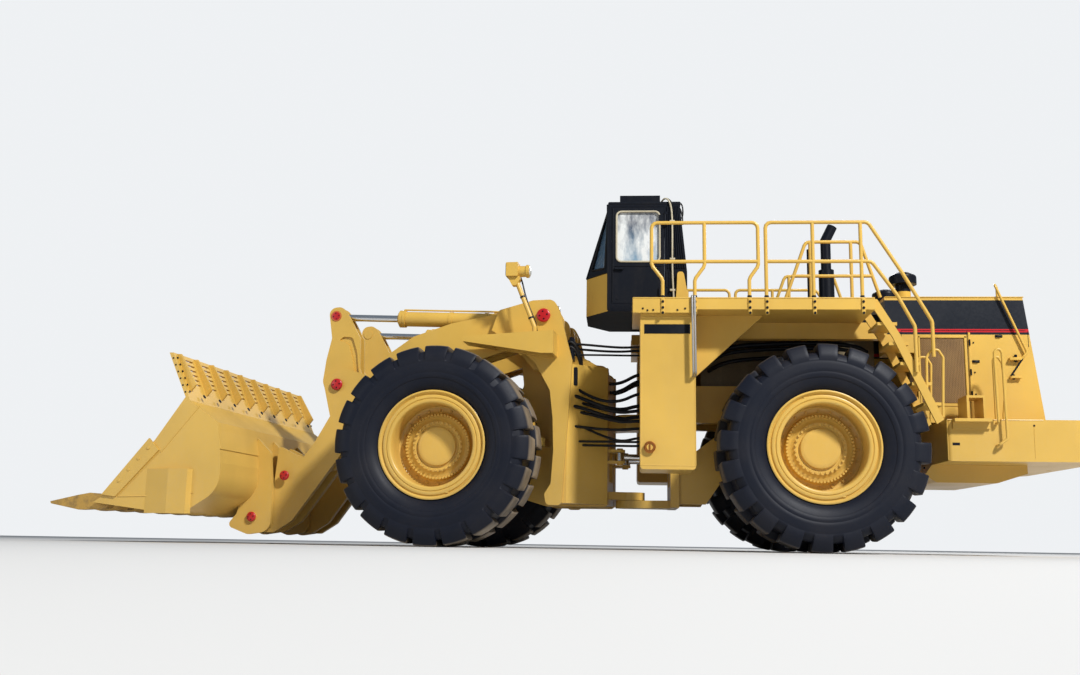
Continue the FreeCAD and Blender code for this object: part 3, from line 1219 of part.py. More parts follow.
def tyre(name, depth, gap_share):
    half = size.tyre_half_width
    ground = size.tyre_radius - depth
    bead = size.flange_half - 61
    corners = [(-bead, size.seat_radius + 0.4), (bead, size.seat_radius + 0.4), (size.flange_half - 25, 770),
               (half, 900, 180), (half - 10, 1120, 160), (half - 90, ground, 60),
               (90 - half, ground, 60), (10 - half, 1120, 160), (-half, 900, 180),
               (25 - size.flange_half, 770)]
    body = Part.Face(corner_wire(corners, "yz")).revolve(V(0, 0, 0), V(0, 1, 0), 360)
    count = int(size.lug_count)
    pitch = 360.0 / count
    width = 2 * math.pi * size.tyre_radius / count * (1 - gap_share)
    lugs = []
    top = size.tyre_radius
    low_corner = math.degrees(math.asin(width * 0.5 / top))
    for side in (-1, 1):
        def ring(y, low, high, shrink):
            return Part.makePolygon([V(-width * 0.53 * shrink, y, low), V(width * 0.53 * shrink, y, low),
                                     V(width * 0.5 * shrink, y, high), V(-width * 0.5 * shrink, y, high),
                                     V(-width * 0.53 * shrink, y, low)])
        high = math.sqrt(top ** 2 - (width * 0.5) ** 2)
        shoulder = ring(side * (half - 80), ground - 40, high, 1.0)
        lug = Part.makeLoft([ring(side * 70, ground - 40, high, 0.9), shoulder], True, True)
        heel = Part.makeLoft([shoulder, ring(side * (half - 8), 1120, high - 150, 1.0)], True, True)
        lug = lug.fuse(heel)
        for index in range(count):
            piece = lug.copy()
            piece.rotate(V(0, 0, 0), V(0, 1, 0), low_corner + pitch * (index + (0.5 if side > 0 else 0)))
            lugs.append(piece)
    return body.multiFuse(lugs)


def wheels():
    shapes = {"rear": tyre("rear", size.lug_depth_rear, 0.34),
              "front": tyre("front", size.lug_depth_front, 0.2)}
    made = []
    for unit in ("front", "rear"):
        for hand, sign in (("left", 1), ("right", -1)):
            rim = turned("rim", rim_shape())
            rubber = solid("tyre", shapes[unit])
            for label, piece in (("rim", rim), ("tyre", rubber)):
                if sign < 0:
                    piece.Placement.Rotation = FreeCAD.Rotation(V(0, 0, 1), 180)
                bind(piece, Placement__Base__x="half_base" if unit == "front" else "-half_base",
                     Placement__Base__y="%d * wheel_middle" % sign, Placement__Base__z="hub_height")
                whole = add("Part::Compound", label)
                whole.Links = [piece]
                made.append(("%s_%s_%s" % (label, unit, hand), whole, unit))
    return made


# label, function that makes it, unit it is placed with
PIECES = [
    ("rear_frame", rear_frame, "rear"),
    ("counterweight", counterweight, "rear"),
    ("belly_guard", belly_guard, "rear"),
    ("hood", hood, "rear"),
    ("radiator_grille", radiator_grille, "rear"),
    ("engine_block", engine_block, "rear"),
    ("engine_cover", engine_cover, "rear"),
    ("decks", decks, "rear"),
    ("tanks", tanks, "rear"),
    ("handrails", handrails, "rear"),
    ("stairs", stairs, "rear"),
    ("exhaust", exhaust, "rear"),
    ("air_cleaner", air_cleaner, "rear"),
    ("cab_shell", cab_shell, "rear"),
    ("cab_mount", cab_mount, "rear"),
    ("cab_door", cab_door, "rear"),
    ("door_glass", door_glass, "rear"),
    ("cab_glass", cab_glass, "rear"),
    ("cab_roof_unit", cab_roof_unit, "rear"),
    ("seat", seat, "rear"),
    ("console", console, "rear"),
    ("front_frame", front_frame, "front"),
    ("front_fenders", front_fenders, "front"),
    ("lamp_masts", lamp_masts, "front"),
    ("lift_arms", lift_arms, "front"),
    ("bucket", bucket, "front"),
    ("bucket_teeth", bucket_teeth, "front"),
    ("spill_guard", spill_guard, "front"),
    ("tilt_levers", tilt_levers, "front"),
    ("tilt_links", tilt_links, "front"),
]
for label, maker, unit in PIECES:
    node(label, maker(), unit)
node("rear_axle", axle("rear_axle", "-half_base", True), "rear")
node("front_axle", axle("front_axle", "half_base", False), "front")
for kind, maker in (("tilt", tilt_cylinders), ("lift", lift_cylinders)):
    for part, piece in zip(("barrels", "rods"), maker()):
        node("%s_%s" % (kind, part), piece, "front")
for hand, sign in (("left", 1), ("right", -1)):
    for kind, piece in zip(("barrel", "rod"), steer_cylinders(sign)):
        node("steer_%s_%s" % (kind, hand), piece, "rear")
for label, piece, unit in wheels():
    node(label, piece, unit)
doc.recompute()


def troubles():
    """Every object that failed and every node without a valid shape."""
    found = []
    for thing in doc.Objects:
        if "Invalid" in thing.State or "Error" in thing.State:
            found.append("%s is %s" % (thing.Name, thing.State))
    for label, piece in NODES.items():
        if piece.Shape.isNull() or not piece.Shape.isValid():
            found.append(label + " has no valid shape")
    return found


problems = troubles()
if problems:
    raise RuntimeError("; ".join(problems))

# The row's origin is the middle of everything, seen from above.
whole = FreeCAD.BoundBox()
for label, piece in NODES.items():
    whole.add(piece.Shape.optimalBoundingBox(False, False))
for cell, value in (("centre_x", whole.Center.x), ("centre_y", whole.Center.y)):
    sheet.set(sheet.getCellFromAlias(cell), repr(round(value, 3)))
doc.recompute()
problems = troubles()
if problems:
    raise RuntimeError("; ".join(problems))

os.makedirs("parts", exist_ok=True)
for label, piece in NODES.items():
    piece.Shape.exportStep(os.path.join("parts", label + ".step"))
print("centre", round(whole.Center.x, 3), round(whole.Center.y, 3), "box", whole)
for label, piece in NODES.items():
    print(label, len(piece.Shape.Solids), "solids", round(piece.Shape.Volume / 1e9, 3), "m3")
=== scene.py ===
import json
import math

import bmesh
import bpy
import numpy as np
from bpy.props import FloatProperty, FloatVectorProperty, IntProperty, PointerProperty
from mathutils import Matrix


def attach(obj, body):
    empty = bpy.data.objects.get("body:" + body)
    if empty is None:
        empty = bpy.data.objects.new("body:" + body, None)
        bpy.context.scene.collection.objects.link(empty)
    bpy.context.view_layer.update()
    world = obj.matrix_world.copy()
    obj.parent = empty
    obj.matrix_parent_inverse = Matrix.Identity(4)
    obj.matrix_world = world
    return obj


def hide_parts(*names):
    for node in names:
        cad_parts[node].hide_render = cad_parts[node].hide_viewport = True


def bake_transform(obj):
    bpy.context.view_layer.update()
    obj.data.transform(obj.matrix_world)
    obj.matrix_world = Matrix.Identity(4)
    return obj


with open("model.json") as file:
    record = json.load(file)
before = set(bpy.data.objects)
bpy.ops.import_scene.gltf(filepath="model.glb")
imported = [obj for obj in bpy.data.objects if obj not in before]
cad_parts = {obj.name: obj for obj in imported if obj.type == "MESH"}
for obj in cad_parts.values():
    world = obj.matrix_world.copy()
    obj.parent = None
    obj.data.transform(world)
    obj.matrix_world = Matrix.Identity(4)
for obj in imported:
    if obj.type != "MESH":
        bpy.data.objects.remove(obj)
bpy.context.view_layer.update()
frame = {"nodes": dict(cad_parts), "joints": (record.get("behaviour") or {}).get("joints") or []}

bl_info = {
    "name": "Wheel Loader Dress",
    "version": (1, 0, 0),
    "blender": (4, 5, 0),
    "location": "3D View > Sidebar > Loader",
    "description": "Dresses the packed wheel loader with its visible surfaces and finishes",
    "category": "Object",
}

NODES = frame["nodes"]
JOINTS = {joint["name"]: joint for joint in frame["joints"]}
HINGE = np.array(JOINTS["steering"]["pos_m"]) * (1, 1, 0)
TURN = math.atan2(JOINTS["lift"]["axis"][0], -JOINTS["lift"]["axis"][1])


# Places. Both units are measured from the point on the ground under the centre hinge.

def rear(points):
    """Points of the rear unit, moved into the row's frame."""
    return np.asarray(points, float) + HINGE


def front(points):
    """Points of the front unit: turned about the hinge by the rest angle, then moved."""
    x, y, z = np.moveaxis(np.asarray(points, float), -1, 0)
    cos, sin = math.cos(TURN), math.sin(TURN)
    return np.stack([x * cos - y * sin, x * sin + y * cos, z], -1) + HINGE


def mirrored(points):
    return np.asarray(points, float) * (1, -1, 1)


# Shapes: each returns (points, faces) as arrays, and Piece joins them into one mesh.

TINY = 1e-9
WELD = 1e-5
# How far inset may push the point of a sharp corner: the divisor never falls below this
SHARPEST = 0.3


def quads(rows, columns, wrap_rows=False, wrap_columns=False):
    """Faces of a grid of points; a wrapped direction joins its last line to its first."""
    i = np.arange(rows if wrap_rows else rows - 1)[:, None]
    j = np.arange(columns if wrap_columns else columns - 1)[None, :]
    ahead, beside = (i + 1) % rows, (j + 1) % columns
    faces = np.stack([i * columns + j + 0 * beside, i * columns + beside, ahead * columns + beside,
                      ahead * columns + j + 0 * beside], -1)
    return faces.reshape(-1, 4)


def rounded(corners, steps=6):
    """A closed outline: at a corner (a, b, r) an arc of radius r, tangent to both sides."""
    spots = np.array([corner[:2] for corner in corners], float)
    line = []
    for index, corner in enumerate(corners):
        here = spots[index]
        radius = corner[2] if len(corner) > 2 else 0
        if not radius:
            line.append(here[None])
            continue
        back = spots[index - 1] - here
        ahead = spots[(index + 1) % len(spots)] - here
        back, ahead = back / np.linalg.norm(back), ahead / np.linalg.norm(ahead)
        half = math.acos(np.clip(back @ ahead, -1, 1)) / 2
        middle = (back + ahead) / np.linalg.norm(back + ahead)
        centre = here + middle * radius / math.sin(half)
        start = here + back * radius / math.tan(half) - centre
        end = here + ahead * radius / math.tan(half) - centre
        first = math.atan2(start[1], start[0])
        turn = math.atan2(end[1], end[0]) - first
        turn = (turn + math.pi) % (2 * math.pi) - math.pi
        angles = first + turn * np.linspace(0, 1, steps + 1)
        line.append(centre + radius * np.stack([np.cos(angles), np.sin(angles)], -1))
    return np.concatenate(line)


def inset(outline, distance):
    """The outline moved inward: each point goes along the mean of its sides' normals."""
    after = np.roll(outline, -1, 0)
    area = np.sum(outline[:, 0] * after[:, 1] - after[:, 0] * outline[:, 1])
    side = after - outline
    side = side / np.maximum(np.linalg.norm(side, axis=1, keepdims=True), TINY)
    normal = np.stack([-side[:, 1], side[:, 0]], -1) * math.copysign(1, area)
    mean = normal + np.roll(normal, 1, 0)
    share = np.maximum(np.sum(mean * mean, 1, keepdims=True) / 2, SHARPEST)
    return outline + distance * mean / share


# The outline's two axes and the axis that it is carried along
PLANES = {"xz": (0, 2, 1), "xy": (0, 1, 2)}


def plate(corners, low, high, plane="xz", edge=0.0, steps=6):
    """A flat piece: an outline carried from low to high, with chamfers as wide as edge."""
    outline = rounded(corners, steps)
    levels = [(low, edge), (low + edge, 0), (high - edge, 0), (high, edge)] if edge else [(low, 0), (high, 0)]
    a, b, c = PLANES[plane]
    rings = np.zeros((len(levels), len(outline), 3))
    for ring, (height, draw) in zip(rings, levels):
        ring[:, [a, b]] = inset(outline, draw) if draw else outline
        ring[:, c] = height
    count = len(outline)
    faces = quads(len(levels), count, wrap_columns=True).tolist()
    faces.append(list(range(count))[::-1])
    faces.append(list(range((len(levels) - 1) * count, len(levels) * count)))
    return rings.reshape(-1, 3), faces


def block(low, high, edge=0.01):
    """A box with chamfered edges: its plan carried up, drawn in at both ends."""
    (x0, y0, z0), (x1, y1, z1) = low, high
    edge = min(edge, (x1 - x0) / 3, (y1 - y0) / 3, (z1 - z0) / 3)
    corners = [(x0, y0, edge), (x1, y0, edge), (x1, y1, edge), (x0, y1, edge)]
    return plate(corners, z0, z1, "xy", edge, 2)


def lathe(profile, centre, axis=1, steps=64):
    """A turned piece: points (along the axis, radius) carried round the axis through centre."""
    profile = np.asarray(profile, float)
    angles = 2 * math.pi * np.linspace(0, 1, steps, endpoint=False)
    along, radius = profile[:, 0][:, None], profile[:, 1][:, None]
    across = [radius * np.cos(angles), radius * np.sin(angles)]
    first, second = [(1, 2), (2, 0), (0, 1)][axis]
    points = np.zeros((len(profile), steps, 3))
    points[..., axis] = along
    points[..., first], points[..., second] = across
    return points.reshape(-1, 3) + centre, quads(len(profile), steps, wrap_columns=True)


def cross_directions(path):
    """Two directions square to a path at each of its points, without twist."""
    tangent = np.gradient(path, axis=0)
    tangent /= np.maximum(np.linalg.norm(tangent, axis=1, keepdims=True), TINY)
    normal = np.zeros_like(path)
    guess = np.eye(3)[np.argmin(np.abs(tangent[0]))]
    for index, direction in enumerate(tangent):
        guess = guess - direction * (guess @ direction)
        guess /= np.linalg.norm(guess)
        normal[index] = guess
    return normal, np.cross(tangent, normal)


def tube(path, radius, sides=12):
    """A round tube: a circle of the given radius carried along the path, closed at both ends."""
    path = np.asarray(path, float)
    normal, other = cross_directions(path)
    angles = 2 * math.pi * np.arange(sides) / sides
    ring = np.cos(angles)[None, :, None] * normal[:, None] + np.sin(angles)[None, :, None] * other[:, None]
    points = (path[:, None] + ring * radius).reshape(-1, 3)
    faces = quads(len(path), sides, wrap_columns=True).tolist()
    faces.append(list(range(sides))[::-1])
    faces.append(list(range(len(points) - sides, len(points))))
    return points, faces


def bent(points, radius, steps=5):
    """A path through points whose corners are rounded by quadratic curves.

    A curve uses up at most 0.45 of each side, so that two neighbours never meet."""
    points = np.asarray(points, float)
    line = [points[:1]]
    t = np.linspace(0, 1, steps + 1)[:, None]
    for before, here, after in zip(points[:-2], points[1:-1], points[2:]):
        back, ahead = before - here, after - here
        reach = min(radius, 0.45 * np.linalg.norm(back), 0.45 * np.linalg.norm(ahead))
        start = here + back / np.linalg.norm(back) * reach
        end = here + ahead / np.linalg.norm(ahead) * reach
        line.append((1 - t) ** 2 * start + 2 * t * (1 - t) * here + t ** 2 * end)
    line.append(points[-1:])
    return np.concatenate(line)


def curve(points, steps=24):
    """A smooth path: a uniform quadratic B-spline with the points as its control points."""
    points = np.asarray(points, float)
    padded = np.concatenate([points[:1], points, points[-1:]])
    t = np.linspace(0, 1, max(2, steps // len(points)) + 1)[:, None]
    pieces = [0.5 * ((1 - t) ** 2 * a + (1 + 2 * t * (1 - t)) * b + t ** 2 * c)
              for a, b, c in zip(padded[:-2], padded[1:-1], padded[2:])]
    line = np.concatenate([piece[:-1] for piece in pieces] + [pieces[-1][-1:]])
    return np.concatenate([points[:1], line[1:-1], points[-1:]])


def axes_of(direction):
    """The direction as a unit vector, and two unit vectors square to it."""
    direction = np.asarray(direction, float) / np.linalg.norm(direction)
    side = np.cross(direction, np.eye(3)[np.argmin(np.abs(direction))])
    side /= np.linalg.norm(side)
    return direction, side, np.cross(direction, side)


def bolt(centre, direction, radius, height):
    """A hexagon head: six corners carried out along its direction, with a drawn-in top."""
    direction, side, other = axes_of(direction)
    angles = math.pi / 3 * np.arange(6)
    ring = np.cos(angles)[:, None] * side + np.sin(angles)[:, None] * other
    levels = [(0, 1), (0.75, 1), (1, 0.86)]
    points = np.concatenate([centre + direction * height * up + ring * radius * wide for up, wide in levels])
    faces = quads(3, 6, wrap_columns=True).tolist() + [list(range(12, 18)), list(range(6))[::-1]]
    return points, faces


def spun(profile, start, direction, steps=32):
    """A turned piece: points (along, radius) carried round the line from start along direction."""
    direction, side, other = axes_of(direction)
    points, faces = lathe(profile, (0, 0, 0), 0, steps)
    return points[:, :1] * direction + points[:, 1:2] * side + points[:, 2:] * other + start, faces


def hoop(line, normal, radius, sides=8):
    """A round tube along a closed flat line, whose plane faces along normal."""
    line = np.asarray(line, float)
    tangent = np.roll(line, -1, 0) - np.roll(line, 1, 0)
    tangent /= np.linalg.norm(tangent, axis=1, keepdims=True)
    normal = np.asarray(normal, float) / np.linalg.norm(normal)
    out = np.cross(tangent, normal)
    angles = 2 * math.pi * np.arange(sides) / sides
    ring = np.cos(angles)[None, :, None] * normal + np.sin(angles)[None, :, None] * out[:, None]
    return (line[:, None] + ring * radius).reshape(-1, 3), quads(len(line), sides, True, True)


def pad(low, high, power=0.34, rows=22, columns=48):
    """A cushion: an ellipsoid whose cosines and sines are raised to a small power, so it is boxy."""
    low, high = np.asarray(low, float), np.asarray(high, float)
    up = np.linspace(-math.pi / 2, math.pi / 2, rows)[:, None]
    about = 2 * math.pi * np.arange(columns)[None, :] / columns
    factors = ((np.cos(up), np.cos(about)), (np.cos(up), np.sin(about)), (np.sin(up), np.ones_like(about)))
    unit = np.stack([np.sign(first * second) * np.abs(first) ** power * np.abs(second) ** power
                     for first, second in factors], -1)
    points = (low + high) / 2 + unit * (high - low) / 2
    return points.reshape(-1, 3), quads(rows, columns, wrap_columns=True)


class Piece:
    """Gathers shapes and makes one object of them, riding on a body if it names one."""

    def __init__(self, name, body="rear_unit", place=rear):
        self.name, self.body, self.place = name, body, place
        self.points, self.faces, self.start = [], [], 0

    def add(self, shape):
        """Add a shape."""
        points, faces = shape
        self.points.append(self.place(points))
        self.faces += [[self.start + int(i) for i in face] for face in faces]
        self.start += len(points)
        return self

    def pair(self, shape):
        """Add a shape and its mirror image on the machine's other side."""
        points, faces = shape
        return self.add(shape).add((mirrored(points), [face[::-1] for face in faces]))

    def make(self, finish, smooth=35, replaces=(), slot=None):
        """Join the shapes to one object with a finish; edges sharper than smooth degrees stay sharp."""
        mesh = bpy.data.meshes.new(self.name)
        mesh.from_pydata(np.concatenate(self.points).tolist(), [], self.faces)
        shape = bmesh.new()
        shape.from_mesh(mesh)
        bmesh.ops.remove_doubles(shape, verts=shape.verts, dist=WELD)
        bmesh.ops.dissolve_degenerate(shape, edges=shape.edges, dist=WELD / 10)
        bmesh.ops.recalc_face_normals(shape, faces=shape.faces)
        shape.to_mesh(mesh)
        shape.free()
        mesh.shade_smooth()
        mesh.set_sharp_from_angle(angle=math.radians(smooth))
        mesh.materials.append(finish_of(finish))
        obj = placed(self.name, mesh)
        if self.body:
            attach(obj, self.body)
        if replaces:
            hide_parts(*replaces)
        return obj


def placed(name, content):
    """A new object with the mesh, lamp or camera, put into the scene."""
    obj = bpy.data.objects.new(name, content)
    bpy.context.scene.collection.objects.link(obj)
    return obj


# Shader maths

class Wire:
    """One socket of a material's nodes; sums and products of wires add Math nodes."""

    def __init__(self, paint, socket):
        self.paint, self.socket = paint, socket

    def math(self, how, other=0.0, swap=False):
        """A Math node on this wire and another value, the other one first where swap is set."""
        pair = (other, self) if swap else (self, other)
        return self.paint.node("ShaderNodeMath", {"operation": how}, dict(enumerate(pair)))

    def __add__(self, other): return self.math("ADD", other)
    def __sub__(self, other): return self.math("SUBTRACT", other)
    def __rsub__(self, other): return self.math("SUBTRACT", other, True)
    def __mul__(self, other): return self.math("MULTIPLY", other)
    def __gt__(self, other): return self.math("GREATER_THAN", other)
    def __lt__(self, other): return self.math("LESS_THAN", other)

    def clamp(self):
        return self.paint.node("ShaderNodeClamp", {}, {"Value": self})

    def fade(self, low, high):
        """0 below low, 1 above high, straight between them."""
        return self.paint.node("ShaderNodeMapRange", {"clamp": True},
                               {"Value": self, "From Min": low, "From Max": high})

    def xyz(self):
        split = self.paint.tree.nodes.new("ShaderNodeSeparateXYZ")
        self.paint.tree.links.new(self.socket, split.inputs[0])
        return [Wire(self.paint, out) for out in split.outputs]


# A Mix node's sockets for colours, among those for its other kinds of value
MIX_SHARE, MIX_FIRST, MIX_SECOND, MIX_RESULT = 0, 6, 7, 2


class Paint:
    """A material built from expressions on its object coordinates."""

    def __init__(self, name):
        self.material = bpy.data.materials.new(name)
        self.material.use_nodes = True
        self.tree = self.material.node_tree
        self.shader = self.tree.nodes["Principled BSDF"]
        self.place = self.node("ShaderNodeTexCoord", {}, {}, "Object")
        self.x, self.y, self.z = self.place.xyz()

    def node(self, kind, settings, sockets, out=0):
        """A new node with its settings, and its sockets joined to wires or set to values."""
        made = self.tree.nodes.new(kind)
        for key, value in settings.items():
            setattr(made, key, value)
        for key, value in sockets.items():
            if isinstance(value, Wire):
                self.tree.links.new(value.socket, made.inputs[key])
            else:
                made.inputs[key].default_value = value
        return Wire(self, made.outputs[out])

    def noise(self, scale, detail=4.0, rough=0.55, vector=None):
        """Cloudy noise from 0 to 1, with scale cells to the metre."""
        sockets = {"Vector": vector or self.place, "Scale": scale, "Detail": detail, "Roughness": rough}
        return self.node("ShaderNodeTexNoise", {}, sockets, "Fac")

    def stretched(self, scale):
        """The place with each axis multiplied, for streaks."""
        return self.node("ShaderNodeVectorMath", {"operation": "MULTIPLY"}, {0: self.place, 1: scale})

    def mix(self, first, second, share):
        """Colour from first to second by the wire share."""
        first, second = (value if isinstance(value, Wire) else (*value, 1) for value in (first, second))
        return self.node("ShaderNodeMix", {"data_type": "RGBA"},
                         {MIX_FIRST: first, MIX_SECOND: second, MIX_SHARE: share}, MIX_RESULT)

    def finish(self, colour, rough, metal=None, bump=None, strength=0.3, reach=0.01, alpha=None, **fixed):
        """Join the results to the shader; metal and fixed hold values that are the same all over."""
        for key, value in (("Alpha", alpha), ("Base Color", colour), ("Roughness", rough)):
            if value is not None:
                self.tree.links.new(value.socket, self.shader.inputs[key])
        if metal is not None:
            self.shader.inputs["Metallic"].default_value = metal
        if bump is not None:
            sockets = {"Height": bump, "Strength": strength, "Distance": reach}
            normal = self.node("ShaderNodeBump", {}, sockets, "Normal")
            self.tree.links.new(normal.socket, self.shader.inputs["Normal"])
        for key, value in fixed.items():
            self.shader.inputs[key.replace("_", " ")].default_value = value
        return self.material


def linear(red, green, blue):
    """Screen colour, 0 to 255, as the linear values that a shader takes."""
    value = np.array([red, green, blue]) / 255
    return tuple(np.where(value <= 0.04045, value / 12.92, ((value + 0.055) / 1.055) ** 2.4))


YELLOW = linear(214, 172, 76)
DUST = linear(196, 172, 128)
DARK = linear(13, 18, 28)
RED = linear(186, 24, 32)


# Finishes: the heights and the lengths from the hinge at which a colour ends

HOOD_BLACK = (2.972, 3.452)
HOOD_RED = (3.005, 3.05)
HOOD_RED_START = -3.55
CAB_PANEL = (3.304, 3.862)
CAB_PILLAR = 0.326
CLEANER_NECK = 3.67
CHIP = (0.09, 0.065, 0.045)


def coat_of(name, colour, dust=0.25, rough=0.36, wear=0.12, band=None, shine=0.35, matt_below=None):
    """Machine enamel: the colour with soft mottling, rain streaks, dust low down and small chips.

    Below the height matt_below the paint has no shine left, as on an underside full of dust."""
    paint = Paint(name)
    cloud = paint.noise(0.9, 3).fade(0.35, 0.7)
    fine = paint.noise(28.0, 5)
    streak = paint.noise(1.0, 4, vector=paint.stretched((5.0, 5.0, 0.7))).fade(0.5, 0.85)
    low = 1 - paint.z.fade(0.2, 2.6)
    chip = (paint.noise(17.0, 6, 0.7) > 0.735) * (paint.noise(3.1, 2) > 0.52)
    shade = paint.mix(colour, tuple(0.84 * part for part in colour), cloud)
    shade = paint.mix(shade, DUST, ((streak * 0.35 + low * 0.55 + 0.1) * fine * 2 * dust).clamp())
    if band:
        shade = band(paint, shade)
    shade = paint.mix(shade, CHIP, chip * wear * 4)
    roughness = fine * 0.18 + cloud * 0.08 + (rough - 0.1) + chip * 0.3
    if matt_below:
        roughness = (roughness + (paint.z < matt_below)).clamp()
    return paint.finish(shade, roughness, None, fine * 0.6 + chip * -0.8, 0.12, 0.002,
                        Coat_Weight=shine * 0.35, Coat_Roughness=0.2, Specular_IOR_Level=shine)


def hood_band(paint, shade):
    """Black band along the top of the hood with a thin red line in its lower edge."""
    z, x = paint.z, paint.x - float(HINGE[0])
    black = (z > HOOD_BLACK[0]) * (z < HOOD_BLACK[1])
    red = (z > HOOD_RED[0]) * (z < HOOD_RED[1]) * (x < HOOD_RED_START)
    return paint.mix(paint.mix(shade, DARK, black), RED, red)


def cab_band(paint, shade):
    """Yellow lower panels in front of the cab's corner pillar, down to the dark underside."""
    z, x = paint.z, paint.x - float(HINGE[0])
    return paint.mix(shade, YELLOW, (z < CAB_PANEL[1]) * (z > CAB_PANEL[0]) * (x > CAB_PILLAR))


def cleaner_band(paint, shade):
    """Yellow neck under the black cap of the air cleaner."""
    return paint.mix(shade, YELLOW, paint.z < CLEANER_NECK)


# The default colour is near black with a blue cast that is a painted reflection of the sky
def rubber(name, colour=linear(14, 19, 32), rough=0.52, dust=0.08, tread=0.0):
    """Black rubber with a fine grain; the default colour's blue cast is a painted sky reflection. tread is
    how much dust lies on the lugs' tops.
    """
    paint = Paint(name)
    cloud = paint.noise(1.6, 4).fade(0.4, 0.75)
    grain = paint.noise(55.0, 6, 0.65)
    shade = paint.mix(colour, linear(92, 84, 74), (cloud * grain * 2 * dust).clamp())
    if tread:
        top = paint.node("ShaderNodeAttribute", {"attribute_name": "lug_top"}, {}, "Fac")
        patch = paint.noise(2.4, 4).fade(0.3, 0.7) * 0.6 + 0.4
        shade = paint.mix(shade, linear(158, 142, 120), (top * patch * tread).clamp())
    return paint.finish(shade, grain * 0.25 + (rough - 0.12), None, grain, 0.2, 0.003,
                        Specular_IOR_Level=0.22)


def bright_metal(name, colour, rough, metal=1.0, scratch=0.3):
    """Bare metal rubbed along its height; scratch is how much the rubbed lines darken it."""
    paint = Paint(name)
    rub = paint.noise(30.0, 5, vector=paint.stretched((1.0, 1.0, 9.0)))
    shade = paint.mix(colour, tuple(0.6 * part for part in colour), rub.fade(0.45, 0.8) * scratch)
    return paint.finish(shade, rub * 0.2 + rough, metal, rub, 0.06, 0.001)


def worn_steel(name):
    """Steel polished by rock at its tips, brown in its hollows."""
    paint = Paint(name)
    spot = paint.noise(7.0, 6, 0.7)
    shade = paint.mix(linear(186, 146, 70), linear(128, 104, 66), spot.fade(0.45, 0.7))
    return paint.finish(shade, spot * 0.3 + 0.35, 0.35, spot, 0.3, 0.004)


def tread_plate(name, colour):
    """Enamelled floor plate with raised bars, from two crossed waves; between them painted shade, a darker
    copy of the colour, and dirt.
    """
    paint = Paint(name)
    first = ((paint.x + paint.y) * 70).math("SINE")
    second = ((paint.x - paint.y) * 70).math("SINE")
    bars = (first * second).fade(0.25, 0.7)
    dirt = paint.noise(3.0, 4).fade(0.4, 0.8)
    # Painted shade: the plate between the raised bars is a darker copy of the colour
    shade = paint.mix(tuple(0.7 * part for part in colour), colour, bars)
    shade = paint.mix(shade, (0.06, 0.05, 0.035), dirt * 0.4 * (1 - bars))
    return paint.finish(shade, bars * -0.1 + 0.5, None, bars, 0.5, 0.004)


def mesh_screen(name):
    """Punched screen: rows of dark holes in brown-yellow plate; the brown-yellow is dust together with
    painted shade of the screen's recess.
    """
    paint = Paint(name)
    holes = ((paint.x * 260).math("SINE") * (paint.z * 260).math("SINE")).fade(0.1, 0.5)
    cloud = paint.noise(2.5, 4).fade(0.3, 0.7)
    # Brown-yellow base: dust together with painted shade of the recessed screen
    shade = paint.mix(linear(150, 112, 52), linear(122, 88, 40), cloud)
    shade = paint.mix(shade, linear(64, 48, 28), holes)
    return paint.finish(shade, cloud * 0.15 + 0.5, None, holes * -1, 0.4, 0.003)


def glass(name):
    """Tinted pane with a faint film of dust."""
    paint = Paint(name)
    film = paint.noise(4.0, 5).fade(0.4, 0.8)
    shade = paint.mix(linear(92, 128, 158), linear(150, 160, 168), film * 0.5)
    return paint.finish(shade, film * 0.12 + 0.05, alpha=film * 0.18 + 0.5, IOR=1.45)


def film_glass(name):
    """Pane with a pale crinkled film inside: folds from stretched noise, white over a painted reflection that
    fades from pale sky blue low down to dark grey-blue higher up.
    """
    paint = Paint(name)
    fold = paint.noise(2.2, 5, 0.6, paint.stretched((2.6, 1.0, 1.0))).fade(0.36, 0.62)
    # Painted reflection: pale sky blue on the lower pane, fading to dark grey-blue between z 3.95 and 4.6
    sky = paint.z.fade(3.95, 4.6)
    shade = paint.mix(linear(150, 182, 204), linear(78, 84, 100), sky)
    shade = paint.mix(shade, linear(222, 224, 222), fold)
    return paint.finish(shade, fold * 0.2 + 0.08, None, fold, 0.3, 0.01, fold * 0.25 + 0.7)


def cloth(name, colour):
    """Woven seat cover: two crossed sine waves as the weave."""
    paint = Paint(name)
    weave = ((paint.x * 1400).math("SINE") * (paint.y * 1400).math("SINE") + 1) * 0.5
    tone = paint.noise(9.0, 3)
    shade = paint.mix(colour, tuple(1.8 * part for part in colour), weave * tone)
    return paint.finish(shade, weave * 0.2 + 0.7, None, weave, 0.3, 0.001)


FINISHES = {}


